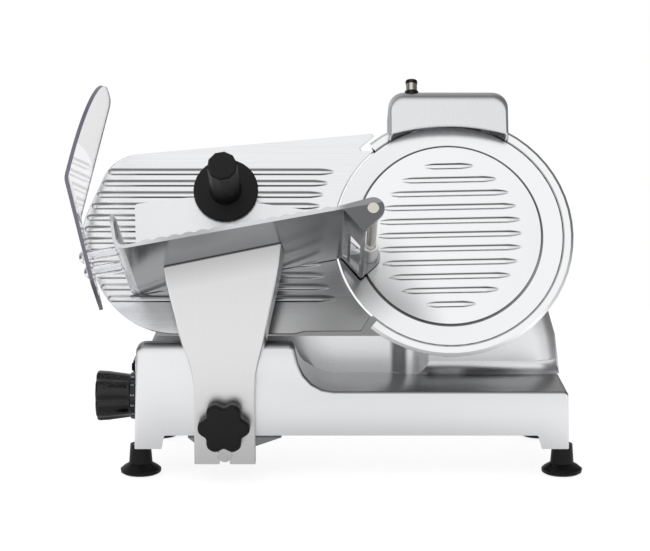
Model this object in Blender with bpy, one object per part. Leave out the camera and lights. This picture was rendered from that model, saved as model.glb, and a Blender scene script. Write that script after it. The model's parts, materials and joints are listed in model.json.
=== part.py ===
"""Electric food slicer with a leaning round blade, built from its separate pieces.

Units are metres and +Z is up. The operator stands at -X, the carriage slides along +X,
and the blade faces the front, -Y. The origin is the middle of the slicer on its floor.
"""

from math import atan2, ceil, cos, pi, radians, sin, sqrt, tan

import bmesh
import bpy
from mathutils import Vector

# Clearances
SEAT = 0.0003
RUNNING = 0.001

# Blade, its cover and where the blade stands
BLADE_LEAN = radians(24)
BLADE_X = 0.133
BLADE_Y = 0.0265
BLADE_Z = 0.252
BLADE_RADIUS = 0.125
BLADE_THICKNESS = 0.008
BLADE_DISH = 0.0022
COVER_RADIUS = 0.102
COVER_DOME = 0.0010
COVER_RIB_PITCH = 0.0158
COVER_RIB_REACH = 0.079
COVER_RIB_EDGE = 0.084
COVER_RIB_COUNT = 2 * int((COVER_RIB_EDGE - 0.004) / COVER_RIB_PITCH) + 1
RIB_HEIGHT = 0.0014

# Ring round the blade
RING_GAP = 0.0008
RING_WIDTH = 0.0112
RING_DEPTH = 0.027
RING_TAPER = 0.0068
RING_WALL = 0.0035
RING_START = radians(-129.5)
RING_SWEEP = radians(259)
RING_WEB_RADIUS = 0.053

# Blade drive
SPINDLE_RADIUS = 0.0125
SPINDLE_BORE = 0.007
SPINDLE_LENGTH = 0.072
BEARING_RADIUS = 0.0185
BEARING_WIDTH = 0.007
PULLEY_RADIUS = 0.045
PULLEY_WIDTH = 0.012
PINION_RADIUS = 0.009
DRIVE_DISTANCE = 0.095
BELT_THICKNESS = 0.0025
MOTOR_RADIUS = 0.029
MOTOR_LENGTH = 0.065
MOTOR_PAD_DEPTH = 0.0747
CAPACITOR_RADIUS = 0.016
CAPACITOR_LENGTH = 0.060
CAPACITOR_SETBACK = 0.050
CAPACITOR_PLACE = 0.036
TIE_ROD_RADIUS = 0.004
TIE_KNOB_RADIUS = 0.017

# Base casting
BASE_LEFT = -0.2085
BASE_RIGHT = 0.258
BASE_FRONT = -0.0695
BASE_REAR = 0.1615
BASE_WALL = 0.004
BASE_DRAFT = 0.0030
FOOT_HEIGHT = 0.0332
SKIRT_BOTTOM = 0.048
DECK_TOP = 0.096
BOX_TOP = 0.148
BOX_RIGHT = -0.034
BOX_LIP = 0.018
BOX_CURVE_X = 0.039
REAR_BOX_TOP = 0.1375
REAR_BOX_FRONT = 0.0315
REAR_BOX_RIGHT = 0.068
PAD_WIDTH = 0.029
PAD_DEPTH = 0.040
PAD_CORE_INSET = 0.001
PAD_CORE_OUTER = 0.003
BOX_EDGE_RADIUS = 0.0060
DECK_EDGE_RADIUS = 0.0025
FOOT_INSET_X = 0.0045
REAR_FOOT_INSET_X = 0.0125
FOOT_INSET_Y = 0.027
FOOT_NECK_RADIUS = 0.0112
FOOT_FLANGE_RADIUS = 0.0223

# Motor housing behind the blade
HOUSING_LEFT = 0.070
HOUSING_RIGHT = 0.260
HOUSING_REAR = 0.1595
HOUSING_WALL = 0.004

# Gauge plate, its slide and its knob
GAUGE_FACE = 0.0006
GAUGE_THICKNESS = 0.004
GAUGE_GAP = 0.002
GAUGE_LEFT = 0.408
GAUGE_TOP = BLADE_RADIUS - 0.008
GAUGE_BOTTOM = BLADE_RADIUS - 0.013
GAUGE_TOP_SLOPE = 0.0914
GAUGE_RIB_PITCH = 0.0132
GAUGE_RIB_COUNT = 12
GAUGE_RIB_WIDTH = 0.0088
GAUGE_RIB_END_RADIUS = BLADE_RADIUS + 0.022
GAUGE_TRAVEL = 0.012
SLIDE_U = -0.262
SLIDE_V = -0.160
GAUGE_ROD_RADIUS = 0.008
GUIDE_START = 0.014
GUIDE_BOSS_LENGTH = 0.008
GUIDE_HUB_LENGTH = 0.020
KNOB_Y = -0.0015
KNOB_Z = 0.0772
KNOB_RADIUS = 0.0275
KNOB_LENGTH = 0.0460
SWITCH_RIM = 0.0055
CAM_SMALL_RADIUS = 0.008
CAM_TURN = radians(300)
CAM_THICKNESS = 0.008
FOLLOWER_RADIUS = 0.005

# Carriage: rod, block, arm and its knob
ROD_RADIUS = 0.007
ROD_Y = -0.0545
ROD_Z = 0.076
GUIDE_BAR_Y = -0.0225
GUIDE_BAR_Z = 0.062
GUIDE_BAR_SIZE = 0.008
ROLLER_RADIUS = 0.005
ARM_FRONT = -0.0875
ARM_PLATE = 0.006
ARM_X = -0.1105
ARM_WIDTH = 0.065
ARM_BOTTOM = 0.021
ARM_FLANGE = 0.015
STAR_Z = 0.065
STAR_RADIUS = 0.0276
STAR_THICKNESS = 0.020
STUD_RADIUS = 0.004
PIN_Z = 0.0318
PIN_HEAD_RADIUS = 0.0080

# Tray, measured from the pusher rod, which is its right end
TRAY_SLOPE = radians(10.6)
TRAY_ROD_U = -0.088
TRAY_ROD_V = -0.0265
TRAY_LENGTH = 0.2645
TRAY_BACK = 0.0032
TRAY_FRONT = 0.190
TRAY_TOP = 0.0082
TRAY_UNDER = 0.0045
TRAY_WALL = 0.0035
TRAY_RIB_PITCH = 0.0143
TRAY_RIB_HEIGHT = 0.0016
FENCE_HEIGHT = 0.054
LUG_RADIUS = 0.0115
LUG_THICKNESS = 0.006
PUSHER_ROD_RADIUS = 0.0057

# Pusher
HUB_RADIUS = 0.0088
HUB_LENGTH = 0.046
PUSHER_FACE = 0.042
PUSHER_PLATE = 0.005
PUSHER_END_GAP = 0.0115
PUSHER_LENGTH = TRAY_LENGTH - PUSHER_END_GAP
PUSHER_CREST = 0.074
PUSHER_HEIGHT = 0.0950
GRIP_RADIUS = 0.0155
GRIP_LENGTH = 0.086
DISC_RADIUS = 0.0352
DISC_THICKNESS = 0.005
SPIKE_LENGTH = 0.006

# Hand guard
GUARD_THICKNESS = 0.004
GUARD_BEND_OUT = 0.0525
GUARD_BEND_UP = 0.0809
GUARD_TOE = 0.0216
GUARD_UPPER_LEAN = radians(12.3)
GUARD_LOWER_LEAN = radians(15.2)
GUARD_UPPER_LENGTH = 0.1365
GUARD_LOWER_LENGTH = 0.114
GUARD_BACK = 0.042
GUARD_CORNER_RADIUS = 0.118
POST_RADIUS = 0.006
POST_HEIGHT = 0.014
POST_PLACES = (0.150, 0.092)
SCREW_RADIUS = 0.0026

# Sharpener
SHARPENER_HALF_WIDTH = 0.0665
SHARPENER_RISE = 0.0355
SHARPENER_TOP = BLADE_RADIUS + SHARPENER_RISE
SHARPENER_FRONT = 0.026
SHARPENER_BACK = 0.036
SHARPENER_WALL = 0.003
SHARPENER_EDGE_RADIUS = 0.006
SHARPENER_ARCH_RADIUS = 0.226
SHARPENER_SKIRT = 0.025
SHARPENER_ARCH_TOP = BLADE_RADIUS - 0.0075
BUTTON_U = -0.0405
BUTTON_N = 0.0142
PLUNGER_RADIUS = 0.0062
BUTTON_RADIUS = 0.0066
GROMMET_RADIUS = 0.0087
BUTTON_HEIGHT = 0.0045
STONE_RADIUS = 0.018

ROUND = 40


def empty(name, location=(0, 0, 0), rotation=(0, 0, 0), parent=None):
    """A frame that carries pieces."""
    frame = bpy.data.objects.new(name, None)
    frame.location = location
    frame.rotation_euler = rotation
    frame.parent = parent
    bpy.context.scene.collection.objects.link(frame)
    return frame


def material(name, colour, roughness, metallic):
    """A plain surface."""
    surface = bpy.data.materials.new(name)
    surface.use_nodes = True
    shader = surface.node_tree.nodes["Principled BSDF"]
    shader.inputs["Base Color"].default_value = (*colour, 1)
    shader.inputs["Roughness"].default_value = roughness
    shader.inputs["Metallic"].default_value = metallic
    return surface


def piece(name, form, surface, parent=None, location=(0, 0, 0), rotation=(0, 0, 0)):
    """One named object made of a closed form."""
    bmesh.ops.recalc_face_normals(form, faces=form.faces)
    mesh = bpy.data.meshes.new(name)
    form.to_mesh(mesh)
    form.free()
    mesh.shade_smooth()
    mesh.set_sharp_from_angle(angle=radians(32))
    mesh.materials.append(surface)
    body = bpy.data.objects.new(name, mesh)
    body.parent = parent
    body.location = location
    body.rotation_euler = rotation
    bpy.context.scene.collection.objects.link(body)
    return body


def join(body, form, operation="UNION"):
    """Adds a form to a body, or takes it away; the form is drawn in the body's own axes."""
    tool = piece(f"{body.name}_{operation.lower()}_{len(body.modifiers)}", form, body.active_material)
    tool.parent = body.parent
    tool.location = body.location
    tool.rotation_euler = body.rotation_euler
    tool.hide_render = True
    tool.display_type = "WIRE"
    step = body.modifiers.new(tool.name, "BOOLEAN")
    step.operation = operation
    step.solver = "EXACT"
    step.object = tool


def cut(body, form):
    """Takes a form away from a body."""
    join(body, form, "DIFFERENCE")


def lifted(point, level, axis):
    """A point of a flat outline, raised along an axis."""
    across, along = point
    return {"X": (level, across, along), "Y": (across, level, along), "Z": (across, along, level)}[axis]


def stacked(rings, closed=False):
    """Skins rings of equal point counts; the ends are capped, or joined when closed."""
    form = bmesh.new()
    loops = [[form.verts.new(point) for point in ring] for ring in rings]
    pairs = list(zip(loops, loops[1:]))
    if closed:
        pairs.append((loops[-1], loops[0]))
    else:
        form.faces.new(loops[0])
        form.faces.new(loops[-1])
    for lower, upper in pairs:
        for index in range(len(lower)):
            after = (index + 1) % len(lower)
            form.faces.new((lower[index], lower[after], upper[after], upper[index]))
    return form


def prism(outline, start, end, axis="Z"):
    """A flat outline with thickness."""
    return stacked([[lifted(point, level, axis) for point in outline] for level in (start, end)])


def box(low, high):
    """A block between two corners."""
    return prism([(low[0], low[1]), (high[0], low[1]), (high[0], high[1]), (low[0], high[1])],
                 low[2], high[2])


def circle(radius, steps=ROUND, centre=(0, 0)):
    """Points round a circle."""
    turns = [2 * pi * step / steps for step in range(steps)]
    return [(centre[0] + radius * cos(turn), centre[1] + radius * sin(turn)) for turn in turns]


def arc(radius, start, end, steps, centre=(0, 0)):
    """Points along an arc, both ends included."""
    turns = [start + (end - start) * step / steps for step in range(steps + 1)]
    return [(centre[0] + radius * cos(turn), centre[1] + radius * sin(turn)) for turn in turns]


def turned(profile, steps=ROUND, axis="Z", centre=(0, 0)):
    """A profile of (radius, height) points turned round an axis; it may start and end on the axis."""
    form = bmesh.new()
    columns = []
    for radius, height in profile:
        if radius == 0:
            columns.append([form.verts.new(lifted(centre, height, axis))])
        else:
            ring = circle(radius, steps, centre)
            columns.append([form.verts.new(lifted(point, height, axis)) for point in ring])
    pairs = list(zip(columns, columns[1:]))
    if profile[0][0] > 0:
        pairs.append((columns[-1], columns[0]))
    for one, other in pairs:
        for index in range(steps):
            after = (index + 1) % steps
            if len(one) == 1:
                form.faces.new((one[0], other[after], other[index]))
            elif len(other) == 1:
                form.faces.new((one[index], one[after], other[0]))
            else:
                form.faces.new((one[index], one[after], other[after], other[index]))
    return form


def rod(radius, start, end, steps=16, axis="Z", centre=(0, 0)):
    """A plain round bar."""
    return prism(circle(radius, steps, centre), start, end, axis)


def rounded(corners, finest=radians(18)):
    """An outline whose corners (x, y, radius) are rounded off by arcs."""
    outline = []
    for index, (x, y, radius) in enumerate(corners):
        here = Vector((x, y))
        before = (Vector(corners[index - 1][:2]) - here).normalized()
        after = (Vector(corners[(index + 1) % len(corners)][:2]) - here).normalized()
        opening = before.angle(after)
        if radius == 0 or opening > pi - 0.01:
            outline.append((x, y))
            continue
        middle = here + (before + after).normalized() * radius / sin(opening / 2)
        first = here + before * radius / tan(opening / 2)
        turn = pi - opening
        side = 1 if before.x * after.y - before.y * after.x < 0 else -1
        start = first - middle
        steps = max(1, ceil(turn / finest))
        for step in range(steps + 1):
            angle = side * turn * step / steps
            outline.append((middle.x + start.x * cos(angle) - start.y * sin(angle),
                            middle.y + start.x * sin(angle) + start.y * cos(angle)))
    return outline


def straight_rib(start, end, width, height, level, sink=0.0006):
    """A raised rib along +X with tapered, rounded ends, sunk a little into its plate."""
    taper = min(width * 1.3, (end[0] - start[0]) / 2.2)
    stations = [(0, 0.12), (taper * 0.35, 0.62), (taper, 1)]
    places = [(start[0] + run, size) for run, size in stations]
    places += [(end[0] - run, size) for run, size in reversed(stations)]
    section = [(-0.5, -1), (-0.5, 0), (-0.27, 0.8), (0, 1), (0.27, 0.8), (0.5, 0), (0.5, -1)]
    rings = []
    for x, size in places:
        ring = []
        for across, up in section:
            lift = sink * up if up < 0 else height * up * size
            ring.append((x, start[1] + across * width * size, level + lift))
        rings.append(ring)
    return stacked(rings)


def gathered(forms):
    """Several separate forms in one."""
    whole = bmesh.new()
    for form in forms:
        mesh = bpy.data.meshes.new("part_of_a_form")
        bmesh.ops.recalc_face_normals(form, faces=form.faces)
        form.to_mesh(mesh)
        form.free()
        whole.from_mesh(mesh)
        bpy.data.meshes.remove(mesh)
    return whole


def loft_section(left, right, front, rear, radius, height):
    """A level outline with rounded corners."""
    radius = min(radius, (right - left) / 2.2, (rear - front) / 2.2)
    corners = [(left, front, radius), (right, front, radius), (right, rear, radius), (left, rear, radius)]
    return [(x, y, height) for x, y in rounded(corners, radians(31))]


def blade_depth_at(height, depth):
    """The world Y of the plane that lies parallel to the blade, that far behind it, at a height."""
    return BLADE_Y + (depth + (height - BLADE_Z) * sin(BLADE_LEAN)) / cos(BLADE_LEAN)


def leaning(v, depth):
    """World (Y, Z) of a point in the blade's plane system, depth measured behind the blade."""
    return (BLADE_Y + v * sin(BLADE_LEAN) + depth * cos(BLADE_LEAN),
            BLADE_Z + v * cos(BLADE_LEAN) - depth * sin(BLADE_LEAN))


def in_lean(y, z):
    """(v, n) in the blade's system of a world point, n measured toward the front."""
    up, out = y - BLADE_Y, z - BLADE_Z
    return (up * sin(BLADE_LEAN) + out * cos(BLADE_LEAN), out * sin(BLADE_LEAN) - up * cos(BLADE_LEAN))


def foot_places():
    """Where the four feet stand."""
    left, right = BASE_LEFT + FOOT_INSET_X, BASE_RIGHT - FOOT_INSET_X
    rear_left, rear_right = BASE_LEFT + REAR_FOOT_INSET_X, BASE_RIGHT - REAR_FOOT_INSET_X
    front, rear = BASE_FRONT + FOOT_INSET_Y, BASE_REAR - FOOT_INSET_Y
    return {"front_left": (left, front), "front_right": (right, front),
            "rear_left": (rear_left, rear), "rear_right": (rear_right, rear)}


def base_silhouette(inset, bottom):
    """The base's front outline: tall box, curve down, low deck and, without inset, the corner pads."""
    left, right = BASE_LEFT + inset, BASE_RIGHT - inset
    top, deck = BOX_TOP - inset, DECK_TOP - inset
    curve_left = BOX_RIGHT - inset
    centre_x = curve_left + BOX_CURVE_X
    drop = top - 0.008 - deck
    curve = [(centre_x - BOX_CURVE_X * cos(turn), deck + drop - drop * sin(turn), 0)
             for turn in [radians(18 * step) for step in range(1, 6)]]
    corners = [(left, bottom, 0), (left + BASE_DRAFT, top, 0.010), (curve_left - 0.003, top, 0.008), *curve,
               (right - BASE_DRAFT / 2, deck, 0.005), (right, bottom, 0)]
    if inset == 0:
        pad_left, pad_right = left + PAD_WIDTH, right - PAD_WIDTH
        corners += [(pad_right, bottom, 0), (pad_right - 0.004, SKIRT_BOTTOM, 0.003),
                    (pad_left + 0.003, SKIRT_BOTTOM, 0.003), (pad_left, bottom, 0)]
    return rounded(corners)


def front_ring(outline, turn):
    """The base's outline at one step of its rounded front edge; its bottom edges keep their place."""
    ring = []
    for index, (x, z) in enumerate(outline):
        share = min(1.0, max(0.0, (z - DECK_TOP) / (BOX_TOP - DECK_TOP)))
        radius = DECK_EDGE_RADIUS + (BOX_EDGE_RADIUS - DECK_EDGE_RADIUS) * share
        sides = []
        for start, end in ((outline[index - 1], (x, z)), ((x, z), outline[(index + 1) % len(outline)])):
            run = Vector((end[0] - start[0], end[1] - start[1])).normalized()
            at_bottom = max(start[1], end[1]) < SKIRT_BOTTOM + SEAT
            sides.append((Vector((run.y, -run.x)), 0 if at_bottom else radius * (1 - sin(turn))))
        (one, first), (other, second) = sides
        spread = one.x * other.y - one.y * other.x
        if abs(spread) < 0.02:
            shift = (one * first + other * second) / 2
        else:
            shift = Vector((first * other.y - second * one.y, second * one.x - first * other.x)) / spread
        ring.append((x + shift.x, BASE_FRONT + radius * (1 - cos(turn)), z + shift.y))
    return ring


def base_casting(surface):
    """The cast body: front wall and box, low deck, rear box, corner pads and inner bosses."""
    outline = base_silhouette(0, FOOT_HEIGHT)
    rings = [front_ring(outline, pi / 2 * step / 4) for step in range(5)]
    rings.append([(x, BASE_REAR, z) for x, z in outline])
    body = piece("base_casting", stacked(rings), surface)
    lip = BASE_FRONT + BOX_LIP
    slope = tan(BLADE_LEAN)
    behind_lip = BOX_TOP - 0.008
    slope_end = behind_lip - (REAR_BOX_FRONT - lip) * slope
    trough = [(lip, behind_lip), (REAR_BOX_FRONT, slope_end), (BASE_REAR + 0.01, slope_end),
              (BASE_REAR + 0.01, BOX_TOP + 0.01), (lip, BOX_TOP + 0.01)]
    cut(body, prism(trough, BASE_LEFT - 0.01, BOX_RIGHT + BOX_CURVE_X, "X"))
    rear_outline = rounded([(BASE_LEFT + 0.0105, DECK_TOP - 0.03, 0), (BASE_LEFT + 0.0115, REAR_BOX_TOP, 0.009),
                            (REAR_BOX_RIGHT, REAR_BOX_TOP, 0.004), (REAR_BOX_RIGHT, DECK_TOP - 0.03, 0)])
    join(body, prism(rear_outline, REAR_BOX_FRONT, BASE_REAR - 0.006, "Y"))
    wall = BASE_WALL
    low = [(BASE_LEFT + wall, 0.01), (BASE_LEFT + wall + 0.002, DECK_TOP - wall),
           (BASE_RIGHT - wall - 0.002, DECK_TOP - wall), (BASE_RIGHT - wall, 0.01)]
    cut(body, prism(low, BASE_FRONT + wall, BASE_REAR - wall, "Y"))
    under = wall * 0.85
    box_room = [(BASE_FRONT + wall, DECK_TOP - 0.01), (BASE_FRONT + wall, BOX_TOP - wall),
                (lip - wall, BOX_TOP - wall), (lip - wall, behind_lip - under),
                (REAR_BOX_FRONT - wall, slope_end - under + wall * slope),
                (REAR_BOX_FRONT - wall, DECK_TOP - 0.01)]
    cut(body, prism(box_room, BASE_LEFT + 2 * wall, BOX_RIGHT - 2 * wall, "X"))
    rear_room = [(BASE_LEFT + 0.012 + wall, DECK_TOP - 0.01), (BASE_LEFT + 0.012 + wall, REAR_BOX_TOP - wall),
                 (REAR_BOX_RIGHT - wall, REAR_BOX_TOP - wall), (REAR_BOX_RIGHT - wall, DECK_TOP - 0.01)]
    cut(body, prism(rear_room, REAR_BOX_FRONT + wall, BASE_REAR - 0.006 - wall, "Y"))
    cut(body, box((HOUSING_LEFT + 0.010, REAR_BOX_FRONT + 0.014, DECK_TOP - 0.01),
                  (HOUSING_RIGHT - 0.014, BASE_REAR - 0.012, DECK_TOP + 0.01)))
    cut(body, box((BASE_LEFT - 0.01, BASE_FRONT + PAD_DEPTH, 0.01),
                  (BASE_RIGHT + 0.01, BASE_REAR - PAD_DEPTH, SKIRT_BOTTOM)))
    cut(body, box((BASE_LEFT + PAD_WIDTH, BASE_REAR - PAD_DEPTH, 0.01),
                  (BASE_RIGHT - PAD_WIDTH, BASE_REAR + 0.01, SKIRT_BOTTOM)))
    corner_blocks = []
    for x, y in foot_places().values():
        inset = PAD_CORE_INSET
        inner_x = BASE_LEFT + PAD_WIDTH - inset if x < 0 else BASE_RIGHT - PAD_WIDTH + inset
        outer_x = BASE_LEFT + PAD_CORE_OUTER if x < 0 else BASE_RIGHT - PAD_CORE_OUTER
        inner_y = BASE_FRONT + PAD_DEPTH - inset if y < 0 else BASE_REAR - PAD_DEPTH + inset
        outer_y = BASE_FRONT + PAD_CORE_OUTER if y < 0 else BASE_REAR - PAD_CORE_OUTER
        corner_blocks.append(box((min(inner_x, outer_x), min(inner_y, outer_y), FOOT_HEIGHT - 0.0002),
                                 (max(inner_x, outer_x), max(inner_y, outer_y), SKIRT_BOTTOM + 0.0075)))
    join(body, gathered(corner_blocks))
    join(body, gathered([rod_boss(BASE_LEFT + 0.002, BASE_LEFT + 0.018),
                         rod_boss(BASE_RIGHT - 0.018, BASE_RIGHT - 0.003)]))
    join(body, gathered([guide_boss(GUIDE_START), guide_boss(rear_boss_start())]))
    for x, y in foot_places().values():
        cut(body, rod(0.0033, 0.02, SKIRT_BOTTOM, 10, "Z", (x, y)))
    cut(body, rod(ROD_RADIUS + SEAT, BASE_LEFT + 0.006, BASE_RIGHT - 0.007, 20, "X", (ROD_Y, ROD_Z)))
    half = GUIDE_BAR_SIZE / 2 + SEAT
    cut(body, box((BASE_LEFT + 0.006, GUIDE_BAR_Y - half, GUIDE_BAR_Z - half),
                  (BASE_RIGHT - 0.007, GUIDE_BAR_Y + half, GUIDE_BAR_Z + half)))
    gauge_rod_end = rear_boss_start() + GUIDE_BOSS_LENGTH
    slot_end = rear_boss_start() - SEAT
    cut(body, leaning_box(SLIDE_U, 0.0145, GUIDE_START + GUIDE_BOSS_LENGTH + SEAT, slot_end, -0.150, -0.120))
    cut(body, leaning_rod(SLIDE_U, SLIDE_V, GAUGE_ROD_RADIUS + SEAT, GUIDE_START - 0.01, gauge_rod_end + 0.01))
    cut(body, rod(0.0065, BASE_LEFT - 0.01, BASE_LEFT + 0.02, 16, "X", (KNOB_Y, KNOB_Z)))
    cut(body, rod(0.0085, BASE_REAR - 0.02, BASE_REAR + 0.01, 16, "Y", (BLADE_X - 0.107, SKIRT_BOTTOM + 0.023)))
    y0, y1, z0, z1 = switch_span()
    rim = SWITCH_RIM - SEAT
    cut(body, box((BASE_LEFT - 0.01, y0 + rim, z0 + rim), (BASE_LEFT + 0.020, y1 - rim, z1 - rim)))
    return body


def rod_boss(start, end):
    """A block inside an end wall that holds the carriage rod and the guide bar."""
    bar_end = GUIDE_BAR_Y + 0.010
    outline = rounded([(ROD_Y - 0.0105, DECK_TOP - 0.002, 0), (ROD_Y - 0.0105, ROD_Z - 0.012, 0.003),
                       (GUIDE_BAR_Y - 0.012, GUIDE_BAR_Z - 0.009, 0.002),
                       (bar_end, GUIDE_BAR_Z - 0.009, 0.002), (bar_end, GUIDE_BAR_Z + 0.009, 0),
                       (ROD_Y + 0.016, DECK_TOP - 0.002, 0)])
    return prism(outline, start, end, "X")


def rear_boss_start():
    """How far behind the blade the second boss of the gauge slide starts."""
    return GUIDE_START + GUIDE_BOSS_LENGTH + 2 * RUNNING + GUIDE_HUB_LENGTH + GAUGE_TRAVEL + RUNNING


def leaning_rod(u, v, radius, start, end, steps=16):
    """A bar square to the blade, in world axes, between two depths behind the blade."""
    rings = []
    for depth in (start, end):
        ring = []
        for across, up in circle(radius, steps):
            y, z = leaning(v + up, depth)
            ring.append((BLADE_X + u + across, y, z))
        rings.append(ring)
    return stacked(rings)


def leaning_box(u, half, start, end, low, high):
    """A block in the blade's system, drawn in world axes."""
    corners = [leaning(low, start), leaning(low, end), leaning(high, end), leaning(high, start)]
    return prism(corners, BLADE_X + u - half, BLADE_X + u + half, "X")


def guide_boss(start):
    """A boss under the sloping top that holds one end of the gauge plate's slide rod."""
    return leaning_box(SLIDE_U, 0.0120, start, start + GUIDE_BOSS_LENGTH, SLIDE_V - 0.014, SLIDE_V + 0.0235)


def switch_span():
    """The switch plate on the left wall: (Y start, Y end, Z start, Z end)."""
    return (KNOB_Y + 0.033, KNOB_Y + 0.075, DECK_TOP - 0.030, DECK_TOP + 0.0175)


def feet(rubber, steel):
    """Four flared rubber feet, each held by a bolt from below."""
    top, neck, flange = FOOT_HEIGHT - SEAT, FOOT_NECK_RADIUS, FOOT_FLANGE_RADIUS
    profile = [(0.0034, top), (neck, top), (neck + 0.0016, 0.012), (flange - 0.004, 0.0088), (flange, 0.0055),
               (flange - 0.0005, 0.002), (flange - 0.004, 0), (0.0085, 0), (0.0075, 0.012), (0.0034, 0.012)]
    bolt = [(0, 0.0065), (0.0055, 0.0075), (0.0055, 0.012 - SEAT), (0.003, 0.012 - SEAT),
            (0.003, SKIRT_BOTTOM - SEAT), (0, SKIRT_BOTTOM - SEAT)]
    for place, (x, y) in foot_places().items():
        piece(f"foot_{place}", turned(profile, 18), rubber, location=(x, y, 0))
        piece(f"foot_bolt_{place}", turned(bolt, 10), steel, location=(x, y, 0))


def bottom_plate(steel):
    """The sheet that closes the base under the motor and the switch."""
    wall = BASE_WALL + BASE_DRAFT
    side = PAD_WIDTH - PAD_CORE_INSET + SEAT
    step = BASE_REAR - PAD_DEPTH + PAD_CORE_INSET - SEAT
    corners = [(BASE_LEFT + wall, REAR_BOX_FRONT, 0), (BASE_RIGHT - wall, REAR_BOX_FRONT, 0),
               (BASE_RIGHT - wall, step, 0), (BASE_RIGHT - side, step, 0),
               (BASE_RIGHT - side, BASE_REAR - wall, 0), (BASE_LEFT + side, BASE_REAR - wall, 0),
               (BASE_LEFT + side, step, 0), (BASE_LEFT + wall, step, 0)]
    piece("bottom_plate", prism(rounded(corners), SKIRT_BOTTOM + 0.001, SKIRT_BOTTOM + 0.0025), steel)


def housing_levels(inset):
    """Sections of the motor housing from its foot on the deck to its rounded top."""
    foot = DECK_TOP + SEAT - (0.02 if inset else 0)
    rows = [(foot, 0, 0, 0, 0.026), (BLADE_Z - 0.118, 0, 0.005, 0.001, 0.028),
            (BLADE_Z - 0.060, 0.003, 0.022, 0.003, 0.030), (BLADE_Z, 0.008, 0.040, 0.008, 0.032),
            (BLADE_Z + 0.045, 0.018, 0.058, 0.018, 0.030), (BLADE_Z + 0.078, 0.036, 0.080, 0.034, 0.022)]
    sections = []
    for height, left, right, rear, radius in rows:
        height = min(height, BLADE_Z + 0.078 - inset)
        front = max(REAR_BOX_FRONT + 0.0015, blade_depth_at(height, RING_DEPTH + 0.003)) + inset
        sections.append(loft_section(HOUSING_LEFT + left + inset, HOUSING_RIGHT - right - inset,
                                     front, HOUSING_REAR - rear - inset, radius - inset * 0.5, height))
    return sections


def drive_outline(spindle_radius, motor_radius):
    """The outline of two circles, at the spindle and at the motor below it, and their tangents."""
    step = spindle_radius - motor_radius
    spread = atan2(step, sqrt(DRIVE_DISTANCE**2 - step**2))
    top = arc(spindle_radius, -spread, pi + spread, 22)
    bottom = arc(motor_radius, pi + spread, 2 * pi - spread, 10, (0, -DRIVE_DISTANCE))
    return top + bottom


def motor_housing(surface):
    """The shell behind the blade, with the spindle boss and the motor's pad inside it."""
    shell = piece("motor_housing", stacked(housing_levels(0)), surface)
    cut(shell, stacked(housing_levels(HOUSING_WALL)))
    boss = []
    for depth in (RING_DEPTH + SEAT, MOTOR_PAD_DEPTH):
        ring = []
        for across, v in drive_outline(0.050, 0.020):
            y, z = leaning(v, depth)
            ring.append((BLADE_X + across, y, z))
        boss.append(ring)
    join(shell, stacked(boss))
    bearing = BEARING_RADIUS + SEAT
    seat_depth = RING_DEPTH + SEAT + BEARING_WIDTH + 0.002
    cut(shell, leaning_rod(0, 0, bearing, 0.01, seat_depth, 28))
    cut(shell, leaning_rod(0, 0, SPINDLE_RADIUS + 0.0015, 0.01, 0.09, 28))
    cut(shell, leaning_rod(0, 0, bearing, MOTOR_PAD_DEPTH - BEARING_WIDTH - 0.002, 0.09, 28))
    cut(shell, leaning_rod(0, -DRIVE_DISTANCE, 0.0075, 0.01, 0.09, 16))
    cut(shell, leaning_rod(0, 0, TIE_ROD_RADIUS + SEAT, 0.12, 0.24, 16))
    return shell


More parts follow.
